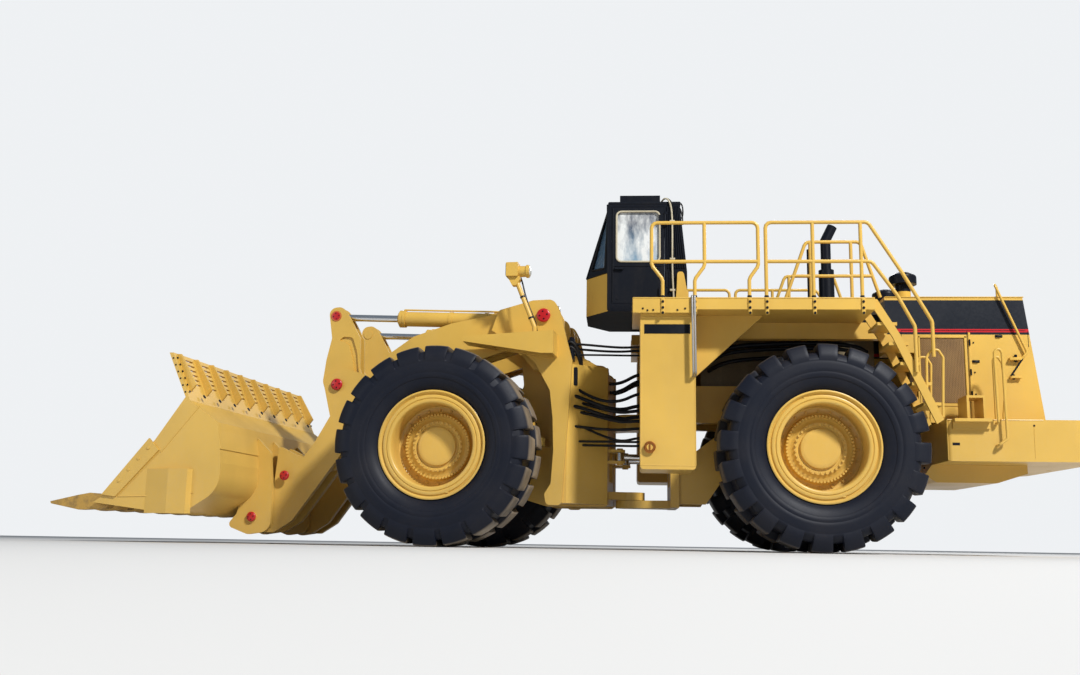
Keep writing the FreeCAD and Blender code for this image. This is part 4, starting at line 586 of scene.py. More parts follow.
def finish_of(key):
    """The material for a key, made once."""
    if key not in FINISHES:
        colours = bpy.context.scene.loader_colours
        yellow, dark, red = tuple(colours.yellow), tuple(colours.dark), tuple(colours.red)
        made = {
            "yellow": lambda: coat_of("machine_yellow", yellow),
            "hood": lambda: coat_of("hood_enamel", yellow, band=hood_band),
            "dark": lambda: coat_of("dark_enamel", dark, 0.03, 0.36, shine=0.16),
            "cab": lambda: coat_of("cab_enamel", dark, 0.03, 0.32, band=cab_band, shine=0.16,
                                   matt_below=CAB_PANEL[0]),
            "cleaner": lambda: coat_of("cleaner_enamel", dark, 0.03, 0.36, band=cleaner_band, shine=0.16),
            "red": lambda: coat_of("red_enamel", red, 0.05, 0.3),
            "iron": lambda: coat_of("engine_iron", linear(96, 84, 60), 0.5, 0.6, 0.3),
            "chrome": lambda: bright_metal("rod_chrome", (0.78, 0.79, 0.8), 0.1),
            "steel": lambda: bright_metal("plain_steel", (0.42, 0.41, 0.39), 0.38, 0.85, 0.5),
            "brass": lambda: bright_metal("filler_brass", linear(186, 118, 62), 0.28),
            "lens": lambda: bright_metal("lamp_lens", linear(225, 225, 215), 0.12, 0.4, 0.1),
            "worn": lambda: worn_steel("worn_steel"),
            "tyre_rear": lambda: rubber("tyre_rubber_rear", tread=0.25),
            "tyre_front": lambda: rubber("tyre_rubber_front", tread=0.85),
            "hose": lambda: rubber("hose_rubber", linear(17, 18, 21), 0.5, 0.2),
            "seal": lambda: rubber("window_seal", linear(196, 186, 160), 0.5, 0.4),
            "glass": lambda: glass("tinted_glass"),
            "film": lambda: film_glass("filmed_glass"),
            "cloth": lambda: cloth("seat_cloth", (0.035, 0.037, 0.042)),
            "screen": lambda: mesh_screen("hood_screen"),
            "treads": lambda: tread_plate("deck_tread", yellow),
        }[key]()
        FINISHES[key] = made
    return FINISHES[key]


# CAD nodes that keep their own shape, by finish
DRESS = {
    "yellow": ("rear_frame", "rear_axle", "counterweight", "belly_guard", "tanks", "handrails", "stairs",
               "decks", "cab_mount", "front_frame", "front_axle", "front_fenders", "lamp_masts",
               "lift_arms", "bucket", "spill_guard", "tilt_levers", "tilt_links", "tilt_barrels",
               "lift_barrels", "steer_barrel_left", "steer_barrel_right"),
    "hood": ("hood",),
    "cab": ("cab_shell",),
    "dark": ("radiator_grille", "exhaust", "cab_door", "cab_roof_unit", "engine_cover", "console"),
    "cleaner": ("air_cleaner",),
    "iron": ("engine_block",),
    "cloth": ("seat",),
    "glass": ("cab_glass",),
    "film": ("door_glass",),
    "chrome": ("tilt_rods", "lift_rods", "steer_rod_left", "steer_rod_right"),
    "worn": ("bucket_teeth",),
}


# Sizes and colours that a user would change

class LoaderSizes(bpy.types.PropertyGroup):
    hose_scale: FloatProperty(name="Hose Scale", description="Thickness of the hinge hoses", default=1.0,
                              min=0.5, max=1.5)
    wheel_steps: IntProperty(name="Wheel Steps", description="Facets round a rim", default=96, min=24,
                             max=200)


class LoaderColours(bpy.types.PropertyGroup):
    yellow: FloatVectorProperty(name="Body", description="Main enamel", subtype="COLOR", default=YELLOW)
    dark: FloatVectorProperty(name="Dark", description="Cab and trim enamel", subtype="COLOR", default=DARK)
    red: FloatVectorProperty(name="Caps", description="Pin caps", subtype="COLOR", default=RED)


class Maker:
    """Shared base of the operators."""
    bl_options = {"REGISTER", "UNDO"}


class LOADER_OT_finishes(Maker, bpy.types.Operator):
    """Give every CAD node its finish"""
    bl_idname = "loader.finishes"
    bl_label = "Finishes"

    def execute(self, context):
        for key, names in DRESS.items():
            for name in names:
                materials = NODES[name].data.materials
                materials.clear()
                materials.append(finish_of(key))
        return {"FINISHED"}


# Wheels

TYRE = {"radius": 1.329, "bead": 0.657, "seat": 0.25, "count": 20, "centre_z": 1.33, "base": 2.44,
        "track": 1.65}
# How deep the grooves are, and which share of a pitch is groove
TREADS = {"rear": (0.12, 0.34), "front": (0.08, 0.2)}
# A lug's width at its inner and at its outer end, as shares, and where on the section those ends are
LUG_WIDTHS, LUG_ENDS = (0.9, 1.0), (0.07, 0.49)
# How far below the tyre's radius the dust of the lugs' tops ends and begins
DUST_DEPTHS = (0.02, 0.004)


def tyre_sections(depth):
    """Half sections from the middle plane out to the bead, as columns y, r of groove and of lug.

    The groove section runs at the foot of the lugs, the lug section over their tops, and both
    share the sidewall, whose low ridges are steps of a few millimetres."""
    top, foot = TYRE["radius"], TYRE["radius"] - depth
    tread = [(0.0, foot, 0.0, foot), (0.05, foot, 0.05, foot), (0.07, foot, 0.07, foot + 0.004),
             (0.082, foot, 0.078, top - 0.024), (0.095, foot, 0.089, top - 0.007), (0.12, foot, 0.112, top),
             (0.2, foot, 0.2, top), (0.3, foot, 0.3, top), (0.39, foot, 0.39, top - 0.001),
             (0.44, foot, 0.45, top - 0.004), (0.465, foot - 0.003, 0.484, top - 0.009),
             (0.485, foot - 0.009, 0.500, top - 0.024), (0.505, foot - 0.022, 0.524, top - 0.065),
             (0.522, foot - 0.038, 0.548, top - 0.115), (0.538, foot - 0.056, 0.561, top - 0.155),
             (0.552, 1.128, 0.5645, 1.142), (0.5585, 1.117, 0.563, 1.120), (0.5625, 1.1, 0.5625, 1.1)]
    wall = [(0.5605, 1.092), (0.563, 1.084), (0.567, 1.05), (0.5695, 1.0), (0.5685, 0.96), (0.5655, 0.956),
            (0.565, 0.946), (0.5675, 0.94), (0.562, 0.905), (0.553, 0.884), (0.545, 0.88), (0.543, 0.872),
            (0.54, 0.862), (0.526, 0.822), (0.508, 0.790), (0.487, 0.764), (0.470, 0.750), (0.460, 0.739),
            (0.451, 0.728), (0.449, 0.70), (0.43, TYRE["bead"])]
    return np.array(tread + [(y, r, y, r) for y, r in wall])


def tyre_shape(depth, gap_share):
    """A tyre as one closed grid: angle phi round the axle by distance s over the section.

    P(phi, s) = G(s) + m(phi) * (L(s) - G(s)), where G is the groove section, L the lug section and
    m rises from 0 to 1 over a lug's wall. Lugs of the two sides are half a pitch apart, and each
    narrows towards the middle plane. Returns points, faces and how far each point is on a lug top."""
    half = tyre_sections(depth)
    count, pitch = TYRE["count"], 2 * math.pi / TYRE["count"]
    width = pitch * (1 - gap_share)
    wall = np.array([1.0, 0.968, 0.9, 0.5, 0.0])
    rise = np.array([0.0, 0.9, 1.0, 1.0, 1.0])
    edges = np.concatenate([-wall[:-1], wall[::-1]]) * width / 2
    first = math.asin(width / 2)
    angles = [(first + pitch * (np.arange(count)[:, None] + offset) + edges).ravel() % (2 * math.pi)
              for offset in (0.0, 0.5)]
    phi = np.unique(np.round(np.concatenate(angles), 6))
    narrow = width / 2 * np.interp(half[:, 2], LUG_ENDS, LUG_WIDTHS)[:, None]
    dusty = np.interp(half[:, 3:], TYRE["radius"] - np.array(DUST_DEPTHS), (0, 1))
    rows = []
    for sign, offset in ((1, 0.5), (-1, 0.0)):
        away = (phi - first - pitch * offset + pitch / 2) % pitch - pitch / 2
        far = np.abs(away)
        lug = np.interp(far, (wall * width / 2)[::-1], rise[::-1], right=0.0)
        moved = np.where(far < width / 2, far * narrow / (width / 2),
                         narrow + (far - width / 2) * (pitch / 2 - narrow) / (pitch / 2 - width / 2))
        angle = phi + np.sign(away) * (moved - far)
        y = half[:, :1] + lug * (half[:, 2:3] - half[:, :1])
        r = half[:, 1:2] + lug * (half[:, 3:] - half[:, 1:2])
        rows.append(np.stack([r * np.sin(angle), sign * y, r * np.cos(angle), dusty * lug], -1))
    left, right = rows
    inner = np.array([TYRE["seat"], 0.0, -TYRE["seat"]])[:, None]
    base = np.stack([TYRE["bead"] * np.sin(phi) + 0 * inner, inner + 0 * phi,
                     TYRE["bead"] * np.cos(phi) + 0 * inner, 0 * inner + 0 * phi], -1)
    grid = np.concatenate([right[:0:-1], left, base])
    faces = quads(len(grid), len(phi), wrap_rows=True, wrap_columns=True)
    return grid[..., :3].reshape(-1, 3), faces, grid[..., 3].ravel()


# The rim's section: along the axle outward, radius
RIM = [(-0.12, 0.0), (-0.12, 0.185), (-0.262, 0.19), (-0.262, 0.325), (-0.25, 0.333), (-0.065, 0.333),
       (-0.058, 0.345), (-0.058, 0.54), (-0.075, 0.556), (-0.37, 0.6), (-0.45, 0.665), (-0.472, 0.688),
       (-0.48, 0.70), (-0.480, 0.715), (-0.474, 0.724), (-0.462, 0.7245), (-0.456, 0.716), (-0.45, 0.69),
       (-0.42, 0.653), (0.42, 0.653), (0.45, 0.69), (0.456, 0.716), (0.462, 0.7245), (0.474, 0.724),
       (0.480, 0.715), (0.479, 0.702), (0.468, 0.692), (0.448, 0.684), (0.440, 0.672), (0.447, 0.664),
       (0.460, 0.660), (0.466, 0.650), (0.464, 0.622), (0.458, 0.617), (0.452, 0.612), (0.458, 0.607),
       (0.465, 0.602), (0.466, 0.576), (0.458, 0.560), (0.44, 0.552), (0.3, 0.548), (0.12, 0.556),
       (0.06, 0.552), (0.046, 0.535), (0.042, 0.47), (0.048, 0.452), (0.10, 0.447), (0.112, 0.442),
       (0.118, 0.43), (0.118, 0.385), (0.124, 0.375), (0.134, 0.352), (0.146, 0.340), (0.147, 0.300),
       (0.140, 0.292), (0.132, 0.286), (0.132, 0.272), (0.138, 0.262), (0.170, 0.258), (0.1765, 0.248),
       (0.177, 0.2), (0.177, 0.0)]
# Rings of bolts on the rim: how many, on which radius, at which y, a head's radius and height
RIM_BOLTS = ((60, 0.428, 0.1175, 0.018, 0.0288), (30, 0.320, 0.1465, 0.016, 0.0256),
             (20, 0.50, 0.0425, 0.02, 0.022))
# Two keys of the lock ring: radius, y and turn of the first
LOCK_KEYS = (0.662, 0.452, 0.35)


def round_axle(count, radius, y, start=0.0):
    """Places on a circle round the axle, at distance y from the wheel's middle plane."""
    angle = start + 2 * math.pi * np.arange(count) / count
    return np.stack([radius * np.sin(angle), np.full(count, y), radius * np.cos(angle)], -1)


def tyre(corner, place, shape, finish):
    """The tyre of one corner; its attribute lug_top says where dust lies."""
    points, faces, dusty = shape
    mesh = bpy.data.meshes.new("tread_" + corner)
    mesh.from_pydata(place(points).tolist(), [], faces.tolist())
    mesh.flip_normals()
    mesh.attributes.new("lug_top", "FLOAT", "POINT").data.foreach_set("value", dusty.astype(np.float32))
    mesh.shade_smooth()
    mesh.set_sharp_from_angle(angle=math.radians(38))
    mesh.materials.append(finish_of(finish))
    obj = placed(mesh.name, mesh)
    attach(obj, "wheel_" + corner)
    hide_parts("tyre_" + corner)


def rim(corner, place, steps):
    """The rim of one corner with its rings of bolts and its lock ring's keys."""
    piece = Piece("wheel_rim_" + corner, "wheel_" + corner, place)
    piece.add(lathe(RIM, (0, 0, 0), steps=steps))
    for count, radius, y, size, high in RIM_BOLTS:
        for spot in round_axle(count, radius, y):
            piece.add(bolt(spot, (0, 1, 0), size, high))
    radius, y, start = LOCK_KEYS
    for spot in round_axle(2, radius, y, start):
        piece.add(block(spot - (0.022, 0.012, 0.012), spot + (0.022, 0.01, 0.012), 0.004))
    piece.make("yellow", 40, ["rim_" + corner])


class LOADER_OT_wheels(Maker, bpy.types.Operator):
    """Tyres with staggered lugs, and rims with lock rings and bolted hubs"""
    bl_idname = "loader.wheels"
    bl_label = "Wheels"

    def execute(self, context):
        for unit, move, ahead in (("front", front, 1), ("rear", rear, -1)):
            shape = tyre_shape(*TREADS[unit])
            for hand, sign in (("left", 1), ("right", -1)):
                centre = np.array([TYRE["base"] * ahead, TYRE["track"] * sign, TYRE["centre_z"]])

                def place(points, turn=np.array([sign, sign, 1]), centre=centre, move=move):
                    return move(points * turn + centre)

                corner = "%s_%s" % (unit, hand)
                tyre(corner, place, shape, "tyre_" + unit)
                rim(corner, place, context.scene.loader_sizes.wheel_steps)
        return {"FINISHED"}


# Cab. Its left front corner and its right one are cut off by bevels; sill and top bound the windows.

CAB = {"left": 1.01, "right": -0.56, "front": 0.32, "nose": 0.64, "bevel": 0.43, "sill": 3.87, "top": 4.88,
       "lean_end": 0.02}
SEAL = 0.016


def corner_face(across, up):
    """A place on the cab's left front corner face, by shares from the pillar and from the sill."""
    low = np.array([CAB["front"] + across * (CAB["nose"] - CAB["front"]), CAB["left"] - across * CAB["bevel"],
                    CAB["sill"]])
    high = np.array([CAB["front"] + across * CAB["lean_end"], low[1], CAB["top"]])
    return low + (high - low) * up


def windscreen_face(y, z):
    """A place on the leaning windscreen."""
    slope = (CAB["nose"] - CAB["front"] - CAB["lean_end"]) / (CAB["top"] - CAB["sill"])
    return [CAB["nose"] - (z - CAB["sill"]) * slope, y, z]


def filled(corners, count=8):
    """A four-sided line with points along its sides, so that a tube on it keeps its width."""
    share = np.linspace(0.03, 0.97, count)[:, None]
    return np.concatenate([a + (b - a) * share for a, b in zip(corners, np.roll(corners, -1, 0))])


def window_seals():
    """Dark seals round both corner panes and the windscreen."""
    seals = Piece("window_seals")
    shares = ((0.16, 0.07), (0.84, 0.1), (0.8, 0.86), (0.16, 0.86))
    corner = np.array([corner_face(*share) for share in shares])
    out = np.cross(corner[1] - corner[0], corner[3] - corner[0])
    seals.add(hoop(filled(corner), out, SEAL))
    opposite = mirrored(corner) + (0, CAB["left"] + CAB["right"], 0)
    seals.add(hoop(filled(opposite), mirrored(out), SEAL))
    low, high, right, left = 3.93, 4.79, -0.07, 0.52
    spots = ((right, low), (left, low), (left, high), (right, high))
    pane = np.array([windscreen_face(y, z) for y, z in spots])
    seals.add(hoop(filled(pane), np.cross(pane[1] - pane[0], pane[3] - pane[0]), SEAL))
    seals.make("hose")


def door_trim():
    """Pale seal round the door's window, and the edge lines and bolts of the door's panel."""
    side = CAB["left"] + 0.003
    back, ahead, low, high, bend = -0.405, 0.205, 4.02, 4.755, 0.07
    line = rounded([(back, low, bend), (ahead, low, bend), (ahead, high, bend), (back, high, bend)])
    line = np.insert(line, 1, CAB["left"] + 0.004, axis=1)
    Piece("door_seal", "cab_door").add(hoop(line, (0, 1, 0), 0.0135)).make("seal")
    edge = Piece("door_edge", "cab_door")
    edge.add(tube([(0.255, side, 3.45), (0.255, side, 4.80)], 0.006, 8))
    edge.add(tube([(-0.44, side, 3.955), (0.24, side, 3.955)], 0.005, 8))
    for x in (-0.40, -0.1, 0.2):
        edge.add(bolt((x, CAB["left"], 3.48), (0, 1, 0), 0.012, 0.008))
    edge.make("dark")


def cab_trim():
    """Roof lip, the leaning ribs behind the door, and beads along the corner's edges."""
    left = CAB["left"]
    trim = Piece("cab_trim")
    roof = [(-0.705, -0.566, 0.02), (0.325, -0.566, 0.02), (0.352, -0.13), (0.352, 0.58),
            (0.325, left + 0.006, 0.02), (-0.705, left + 0.006, 0.02)]
    trim.add(plate(roof, 4.86, 4.9, "xy", 0.008))
    wide, low, high = 0.009, 3.92, 4.83
    for share in np.linspace(0.06, 0.92, 8):
        foot, head = -0.505 - share * 0.27, -0.505 - share * 0.175
        rib = [(foot - wide, low), (foot + wide, low), (head + wide, high), (head - wide, high)]
        trim.add(plate(rib, left - 0.002, left + 0.016, edge=0.004))
    for x in (-0.50, -0.545, -0.585):
        trim.add(block((x - 0.008, left - 0.002, 3.36), (x + 0.008, left + 0.014, 3.88), 0.004))
    pillar = [(0.323, left - 0.002, 3.32), (0.323, left - 0.002, 3.87), (0.335, left - 0.004, 4.86)]
    trim.add(tube(pillar, 0.014, 10))
    trim.add(tube([corner_face(1, 0), corner_face(1, 0.985)], 0.012, 10))
    trim.add(tube([corner_face(across, 0) - (0, 0, 0.004) for across in (0, 1)], 0.012, 10))
    trim.make("dark")


# Leads at the cab's rear edge, by the points that their curves follow
CAB_PIPE = [(-0.44, 0.9, 4.93), (-0.47, 0.98, 4.96), (-0.53, 1.035, 4.93), (-0.575, 1.04, 4.8),
            (-0.585, 1.04, 4.5), (-0.58, 1.04, 4.0), (-0.585, 1.045, 3.75), (-0.598, 1.045, 3.5),
            (-0.60, 1.05, 3.272)]
CAB_WIRES = ([(-0.44, 0.72, 4.99), (-0.5, 0.8, 5.02), (-0.56, 0.86, 4.97), (-0.6, 0.9, 4.88)],
             [(-0.6, 0.9, 4.86), (-0.68, 0.94, 4.92), (-0.735, 0.96, 4.86), (-0.74, 0.97, 4.72),
              (-0.72, 0.98, 4.66)],
             [(-0.5, 0.6, 4.88), (-0.6, 0.7, 4.94), (-0.69, 0.8, 4.9), (-0.735, 0.85, 4.76),
              (-0.74, 0.86, 4.6)])


def cab_pipes():
    """The pale pipe down the cab's side with its clamps, and the leads at the roof."""
    pipes = Piece("cab_pipes")
    pipes.add(tube(curve(CAB_PIPE, 60), 0.0125, 10))
    for z in (4.6, 4.05, 3.6):
        pipes.add(block((-0.62, CAB["left"] - 0.002, z - 0.015), (-0.545, 1.056, z + 0.015), 0.004))
    pipes.make("seal")
    wires = Piece("cab_wires")
    for points in CAB_WIRES:
        wires.add(tube(curve(points, 30), 0.011, 8))
    wires.make("hose")


class LOADER_OT_cab(Maker, bpy.types.Operator):
    """Window seals, door edges, roof lip, ribs, pipe and wires of the cab"""
    bl_idname = "loader.cab"
    bl_label = "Cab"

    def execute(self, context):
        window_seals()
        door_trim()
        cab_trim()
        cab_pipes()
        return {"FINISHED"}


class LOADER_OT_seat(Maker, bpy.types.Operator):
    """The driver's seat: two crowned cushions on a sprung base"""
    bl_idname = "loader.seat"
    bl_label = "Seat"

    def execute(self, context):
        for name, low, high, stands_for in (
                ("seat_cushion", (-0.57, -0.04, 3.70), (-0.07, 0.48, 3.84), ["seat"]),
                ("seat_back", (-0.69, -0.02, 3.73), (-0.56, 0.46, 4.28), ())):
            Piece(name).add(pad(low, high)).make("cloth", 60, stands_for)
        base = Piece("seat_base")
        base.add(block((-0.52, 0.03, 3.3803), (-0.14, 0.41, 3.42), 0.01))
        base.add(block((-0.5, 0.06, 3.6), (-0.15, 0.38, 3.705), 0.015))
        back, ahead, low, high = -0.46, -0.2, 3.42, 3.62
        for y in (0.08, 0.36):
            base.add(tube([(back, y, low), (ahead, y, high)], 0.014, 10))
            base.add(tube([(ahead, y, low), (back, y, high)], 0.014, 10))
        for z in np.linspace(3.44, 3.58, 5):
            base.add(lathe([(z - 0.012, 0.07), (z, 0.088), (z + 0.012, 0.07)], (-0.33, 0.22, 0), 2, 28))
        base.make("dark", slot="seat_fabric")
        return {"FINISHED"}


# Hoses from the rear frame to the front frame

# y at the rear, y at the front, height at the rear, height at the front, how far it sags, radius
HOSES = ((0.95, 0.9, 2.80, 2.86, 0.01, 0.017), (0.88, 0.84, 2.76, 2.80, 0.015, 0.017),
         (0.95, 0.92, 2.68, 2.70, 0.0, 0.014), (0.92, 0.9, 2.14, 2.24, 0.10, 0.022),
         (0.86, 0.94, 1.98, 2.12, 0.06, 0.026), (0.96, 0.86, 1.90, 2.04, 0.03, 0.024),
         (0.84, 0.95, 1.83, 1.97, 0.04, 0.026), (0.95, 0.88, 1.76, 1.90, 0.02, 0.022),
         (0.90, 0.94, 1.66, 1.69, 0.02, 0.020), (0.97, 0.84, 1.52, 1.72, 0.05, 0.018),
         (0.93, 0.9, 1.47, 1.48, 0.0, 0.017), (0.87, 0.86, 1.42, 1.43, 0.0, 0.017),
         (0.3, 0.34, 2.5, 2.6, 0.12, 0.024), (0.2, 0.22, 2.42, 2.5, 0.14, 0.024),
         (-0.3, -0.3, 2.44, 2.52, 0.12, 0.024), (-0.88, -0.9, 2.0, 2.12, 0.08, 0.024),
         (-0.94, -0.86, 1.86, 1.98, 0.05, 0.024))
# A hose end's section as (along the hose, share of the hose's radius)
HOSE_END = ((-0.03, 0), (-0.03, 1.3), (0.0, 1.3), (0.004, 1.55), (0.03, 1.55), (0.034, 1.25), (0.07, 1.25),
            (0.074, 0.9), (0.074, 0))
# Plates that carry the ends: unit, two corners, chamfer
HOSE_PLATES = (("rear", (-0.215, 0.81, 1.38), (-0.185, 1.02, 2.28), 0.006),
               ("rear", (-0.215, -1.02, 1.8), (-0.185, -0.81, 2.2), 0.006),
               ("rear", (-0.215, 0.8, 2.62), (-0.185, 1.04, 2.88), 0.006),
               ("rear", (-0.205, 0.12, 2.36), (-0.16, 0.4, 2.56), 0.006),
               ("front", (0.74, 0.79, 1.62), (0.79, 0.985, 2.56), 0.008),
               ("front", (0.66, 0.80, 2.26), (0.76, 0.975, 2.52), 0.01),
               ("front", (0.72, 0.78, 2.62), (0.78, 0.985, 2.95), 0.008))
# Hoses up to the boom: y and how much higher than the first each starts
ARM_HOSES = ((1.0, 0.0), (0.93, 0.03), (0.98, -0.07), (0.9, -0.04))


def hinge_hoses(scale):
    """The hoses across the hinge with their ends; between the units each runs as one curve from the rear
    frame to the front frame.
    """
    run = Piece("hinge_hoses", None, np.asarray)
    ends = {"rear": Piece("hose_ends_rear"), "front": Piece("hose_ends_front", "front_unit", front)}
    for y0, y1, z0, z1, sag, radius in HOSES:
        drop = np.array([0, 0, sag])
        middle = (rear([0.28, y0, z0]) + front([0.36, y1, z1])) / 2
        path = [rear([-0.2, y0, z0]), rear([-0.08, y0, z0]), rear([0.12, y0, z0]) - drop, middle - drop * 1.6,
                front([0.55, y1, z1]) - drop, front([0.70, y1, z1]), front([0.80, y1, z1])]
        radius *= scale
        run.add(tube(curve(path, 42), radius, 10))
        section = [(along, radius * wide) for along, wide in HOSE_END]
        for side, x, y, z, ahead in (("rear", -0.215, y0, z0, 1), ("front", 0.805, y1, z1, -1)):
            ends[side].add(spun(section, (x, y, z), (ahead, 0, 0), 14))
    obj = run.make("hose", 50)
    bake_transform(obj)
    for side, low, high, edge in HOSE_PLATES:
        ends[side].add(block(low, high, edge))
    for piece in ends.values():
        piece.make("dark")


def arm_hoses():
    """Hoses that loop from the front frame's plates up into the towers, on both sides."""
    arch = Piece("arm_hoses", "front_unit", front)
    for y, lift in ARM_HOSES:
        path = [(0.80, y, 2.87 + lift), (0.75, y, 2.88 + lift), (0.69, y - 0.03, 2.83 + lift),
                (0.65, y - 0.08, 2.72 + lift), (0.62, y - 0.16, 2.6 + lift), (0.66, y - 0.25, 2.5),
                (0.75, y - 0.3, 2.45)]
        arch.pair(tube(curve(path, 42), 0.02, 10))
    arch.make("hose", 50)


class LOADER_OT_hoses(Maker, bpy.types.Operator):
    """Hydraulic hoses across the centre hinge, with their ends on both frames"""
    bl_idname = "loader.hoses"
    bl_label = "Hoses"

    def execute(self, context):
        hinge_hoses(context.scene.loader_sizes.hose_scale)
        arm_hoses()
        return {"FINISHED"}


# Pins that end in a round cap: name, body, x, z, outer y, radius, height
CAPS = (("arm_caps", "lift_arms", 4.17, 2.29, 1.0345, 0.085, 0.025),
        ("arm_caps", "lift_arms", 3.3, 2.25, 1.0, 0.075, 0.025),
        ("lever_caps", "tilt_levers", 4.28, 3.33, 0.885, 0.078, 0.007),
        ("link_caps", "bucket", 4.87, 0.97, 1.089, 0.07, 0.025),
        ("link_caps", "bucket", 5.32, 0.38, 1.119, 0.07, 0.025),
        ("boom_caps", "front_unit", 1.13, 3.24, 1.1395, 0.098, 0.022),
        ("boom_caps", "front_unit", 1.42, 1.70, 1.0995, 0.11, 0.025))
# A cap's section as shares of its height and of its radius
CAP_DOME = ((0.25, 1), (0.53, 0.95), (0.78, 0.8), (0.94, 0.5), (1, 0))
CAP_SUNK = 0.01


class LOADER_OT_caps(Maker, bpy.types.Operator):
    """Red domed caps with four dark bolts on the pins' ends"""
    bl_idname = "loader.caps"
    bl_label = "Pin Caps"

    def execute(self, context):
        groups = {}
        for name, body, x, z, y, radius, high in CAPS:
            made = Piece(name, body, front), Piece(name + "_hubs", body, front)
            red, dark = groups.setdefault(name, made)
            dome = [(-CAP_SUNK, 0), (-CAP_SUNK, radius)] + [(up * high, out * radius) for up, out in CAP_DOME]
            red.pair(spun(dome, (x, y, z), (0, 1, 0), 40))
            for angle in 2 * math.pi * (np.arange(4) + 0.9) / 4:
                along, up = radius * 0.55 * math.cos(angle), radius * 0.55 * math.sin(angle)
                dark.pair(bolt((x + along, y + high * 0.8, z + up), (0, 1, 0), radius * 0.13, high * 0.35))
        for red, dark in groups.values():
            red.make("red")
            dark.make("dark")
        return {"FINISHED"}


# Cylinders

CYLINDER_Y = 0.76
# name, x and z of the base pin and of the head pin, barrel radius, rod radius, gland's distance
CYLINDERS = (("tilt", (1.58, 3.23), (4.28, 3.33), 0.108, 0.05, 1.75),
             ("lift", (1.42, 1.70), (3.30, 2.25), 0.12, 0.062, 1.72))
# The gland's section: along from the gland's place, out from the barrel's or from the rod's radius
GLAND_OUTER = ((-0.09, 0), (-0.085, 0.018), (-0.05, 0.018), (-0.046, 0.006), (-0.04, 0.018), (0, 0.018),
               (0.006, 0.01))
GLAND_INNER = ((0.006, 0.03), (0.03, 0.026), (0.034, 0.003), (-0.1, 0.003))


class LOADER_OT_cylinders(Maker, bpy.types.Operator):
    """Glands, bands and oil pipes on the big cylinders"""
    bl_idname = "loader.cylinders"
    bl_label = "Cylinders"

    def execute(self, context):
        side = np.array([0, 1.0, 0])
        for name, base, head, barrel, rod, gland in CYLINDERS:
            piece = Piece(name + "_glands", name + "_barrels", front)
            start = np.array([base[0], CYLINDER_Y, base[1]])
            run = np.array([head[0], CYLINDER_Y, head[1]]) - start
            run /= np.linalg.norm(run)
            up = np.cross(run, side)
            up = up if up[2] > 0 else -up
            section = [(gland + along, barrel + out) for along, out in GLAND_OUTER]
            section += [(gland + along, rod + out) for along, out in GLAND_INNER]
            piece.pair(spun(section, start, run, 48))
            for along in (0.42, 0.95):
                low, high, end = barrel - 0.002, barrel + 0.008, along + 0.05
                piece.pair(spun([(along, low), (along, high), (end, high), (end, low)], start, run, 48))
            for angle in 2 * math.pi * np.arange(8) / 8:
                away = (np.cos(angle) * up + np.sin(angle) * side) * (rod + barrel + 0.03) / 2
                piece.pair(bolt(start + run * (gland + 0.005) + away, run, 0.013, 0.012))
            piece.make("yellow")
            pipes = Piece(name + "_pipes", name + "_barrels", front)
            for shift, ahead in ((0.03, gland - 0.06), (-0.03, 0.34)):
                near, far = (start + side * shift + up * (barrel + out) for out in (-0.01, 0.022))
                path = [near + run * 0.26, far + run * 0.26, far + run * ahead, near + run * ahead]
                pipes.pair(tube(bent(path, 0.03), 0.013, 10))
            pipes.make("yellow")
        return {"FINISHED"}


# Hood and engine

HOOD_SIDE = 1.06
# Strips on the hood's side: x from and to, z from and to, how far they stand out, chamfer
HOOD_STRIPS = ((-4.565, -3.91, 2.925, 2.965, 0.009, 0.004), (-4.565, -3.91, 1.985, 2.022, 0.009, 0.004),
               (-4.565, -4.536, 2.0, 2.95, 0.009, 0.004), (-3.945, -3.92, 2.0, 2.95, 0.009, 0.004),
               (-4.62, -4.59, 1.82, 3.0, 0.012, 0.004), (-5.36, -3.5, 3.488, 3.503, 0.01, 0.004),
               (-5.29, -5.11, 2.61, 2.65, 0.07, 0.006), (-5.26, -5.11, 2.365, 2.4, 0.06, 0.006))
# Door seams: x, z from and to
HOOD_SEAMS = ((-4.578, 1.80, 3.02), (-5.39, 2.8, 3.02), (-3.7, 2.74, 3.02))
# Fittings beside the hood as upright or slanting pins: both ends' x and z, y beyond the side, radius, sides
HOOD_PINS = ((-5.12, 2.40, -5.28, 2.63, 0.06, 0.012, 10), (-5.2, 2.59, -5.2, 2.69, 0.03, 0.02, 12),
             (-5.16, 2.35, -5.16, 2.42, 0.03, 0.016, 12))
# Pipes over the engine: how far out from the first, height, radius
ENGINE_PIPES = ((0.0, 2.86, 0.035), (0.06, 2.78, 0.028), (0.02, 2.66, 0.03))


def on_hood(x0, x1, z0, z1, out, edge, into=0.002):
    """A plate on the hood's left side, from into below the side's face to out beyond it."""
    return block((x0, HOOD_SIDE - into, z0), (x1, HOOD_SIDE + out, z1), edge)


def hood_screens():
    """Punched screens in the hood's sides, with fine upright bars."""
    screen = Piece("hood_screens")
    screen.pair(on_hood(-4.53, -3.95, 2.03, 2.92, -0.006, 0.002, 0.016))
    for x in np.linspace(-4.5, -3.98, 27):
        screen.pair(on_hood(x - 0.003, x + 0.003, 2.035, 2.915, -0.003, 0.001, 0.008))
    screen.make("screen")


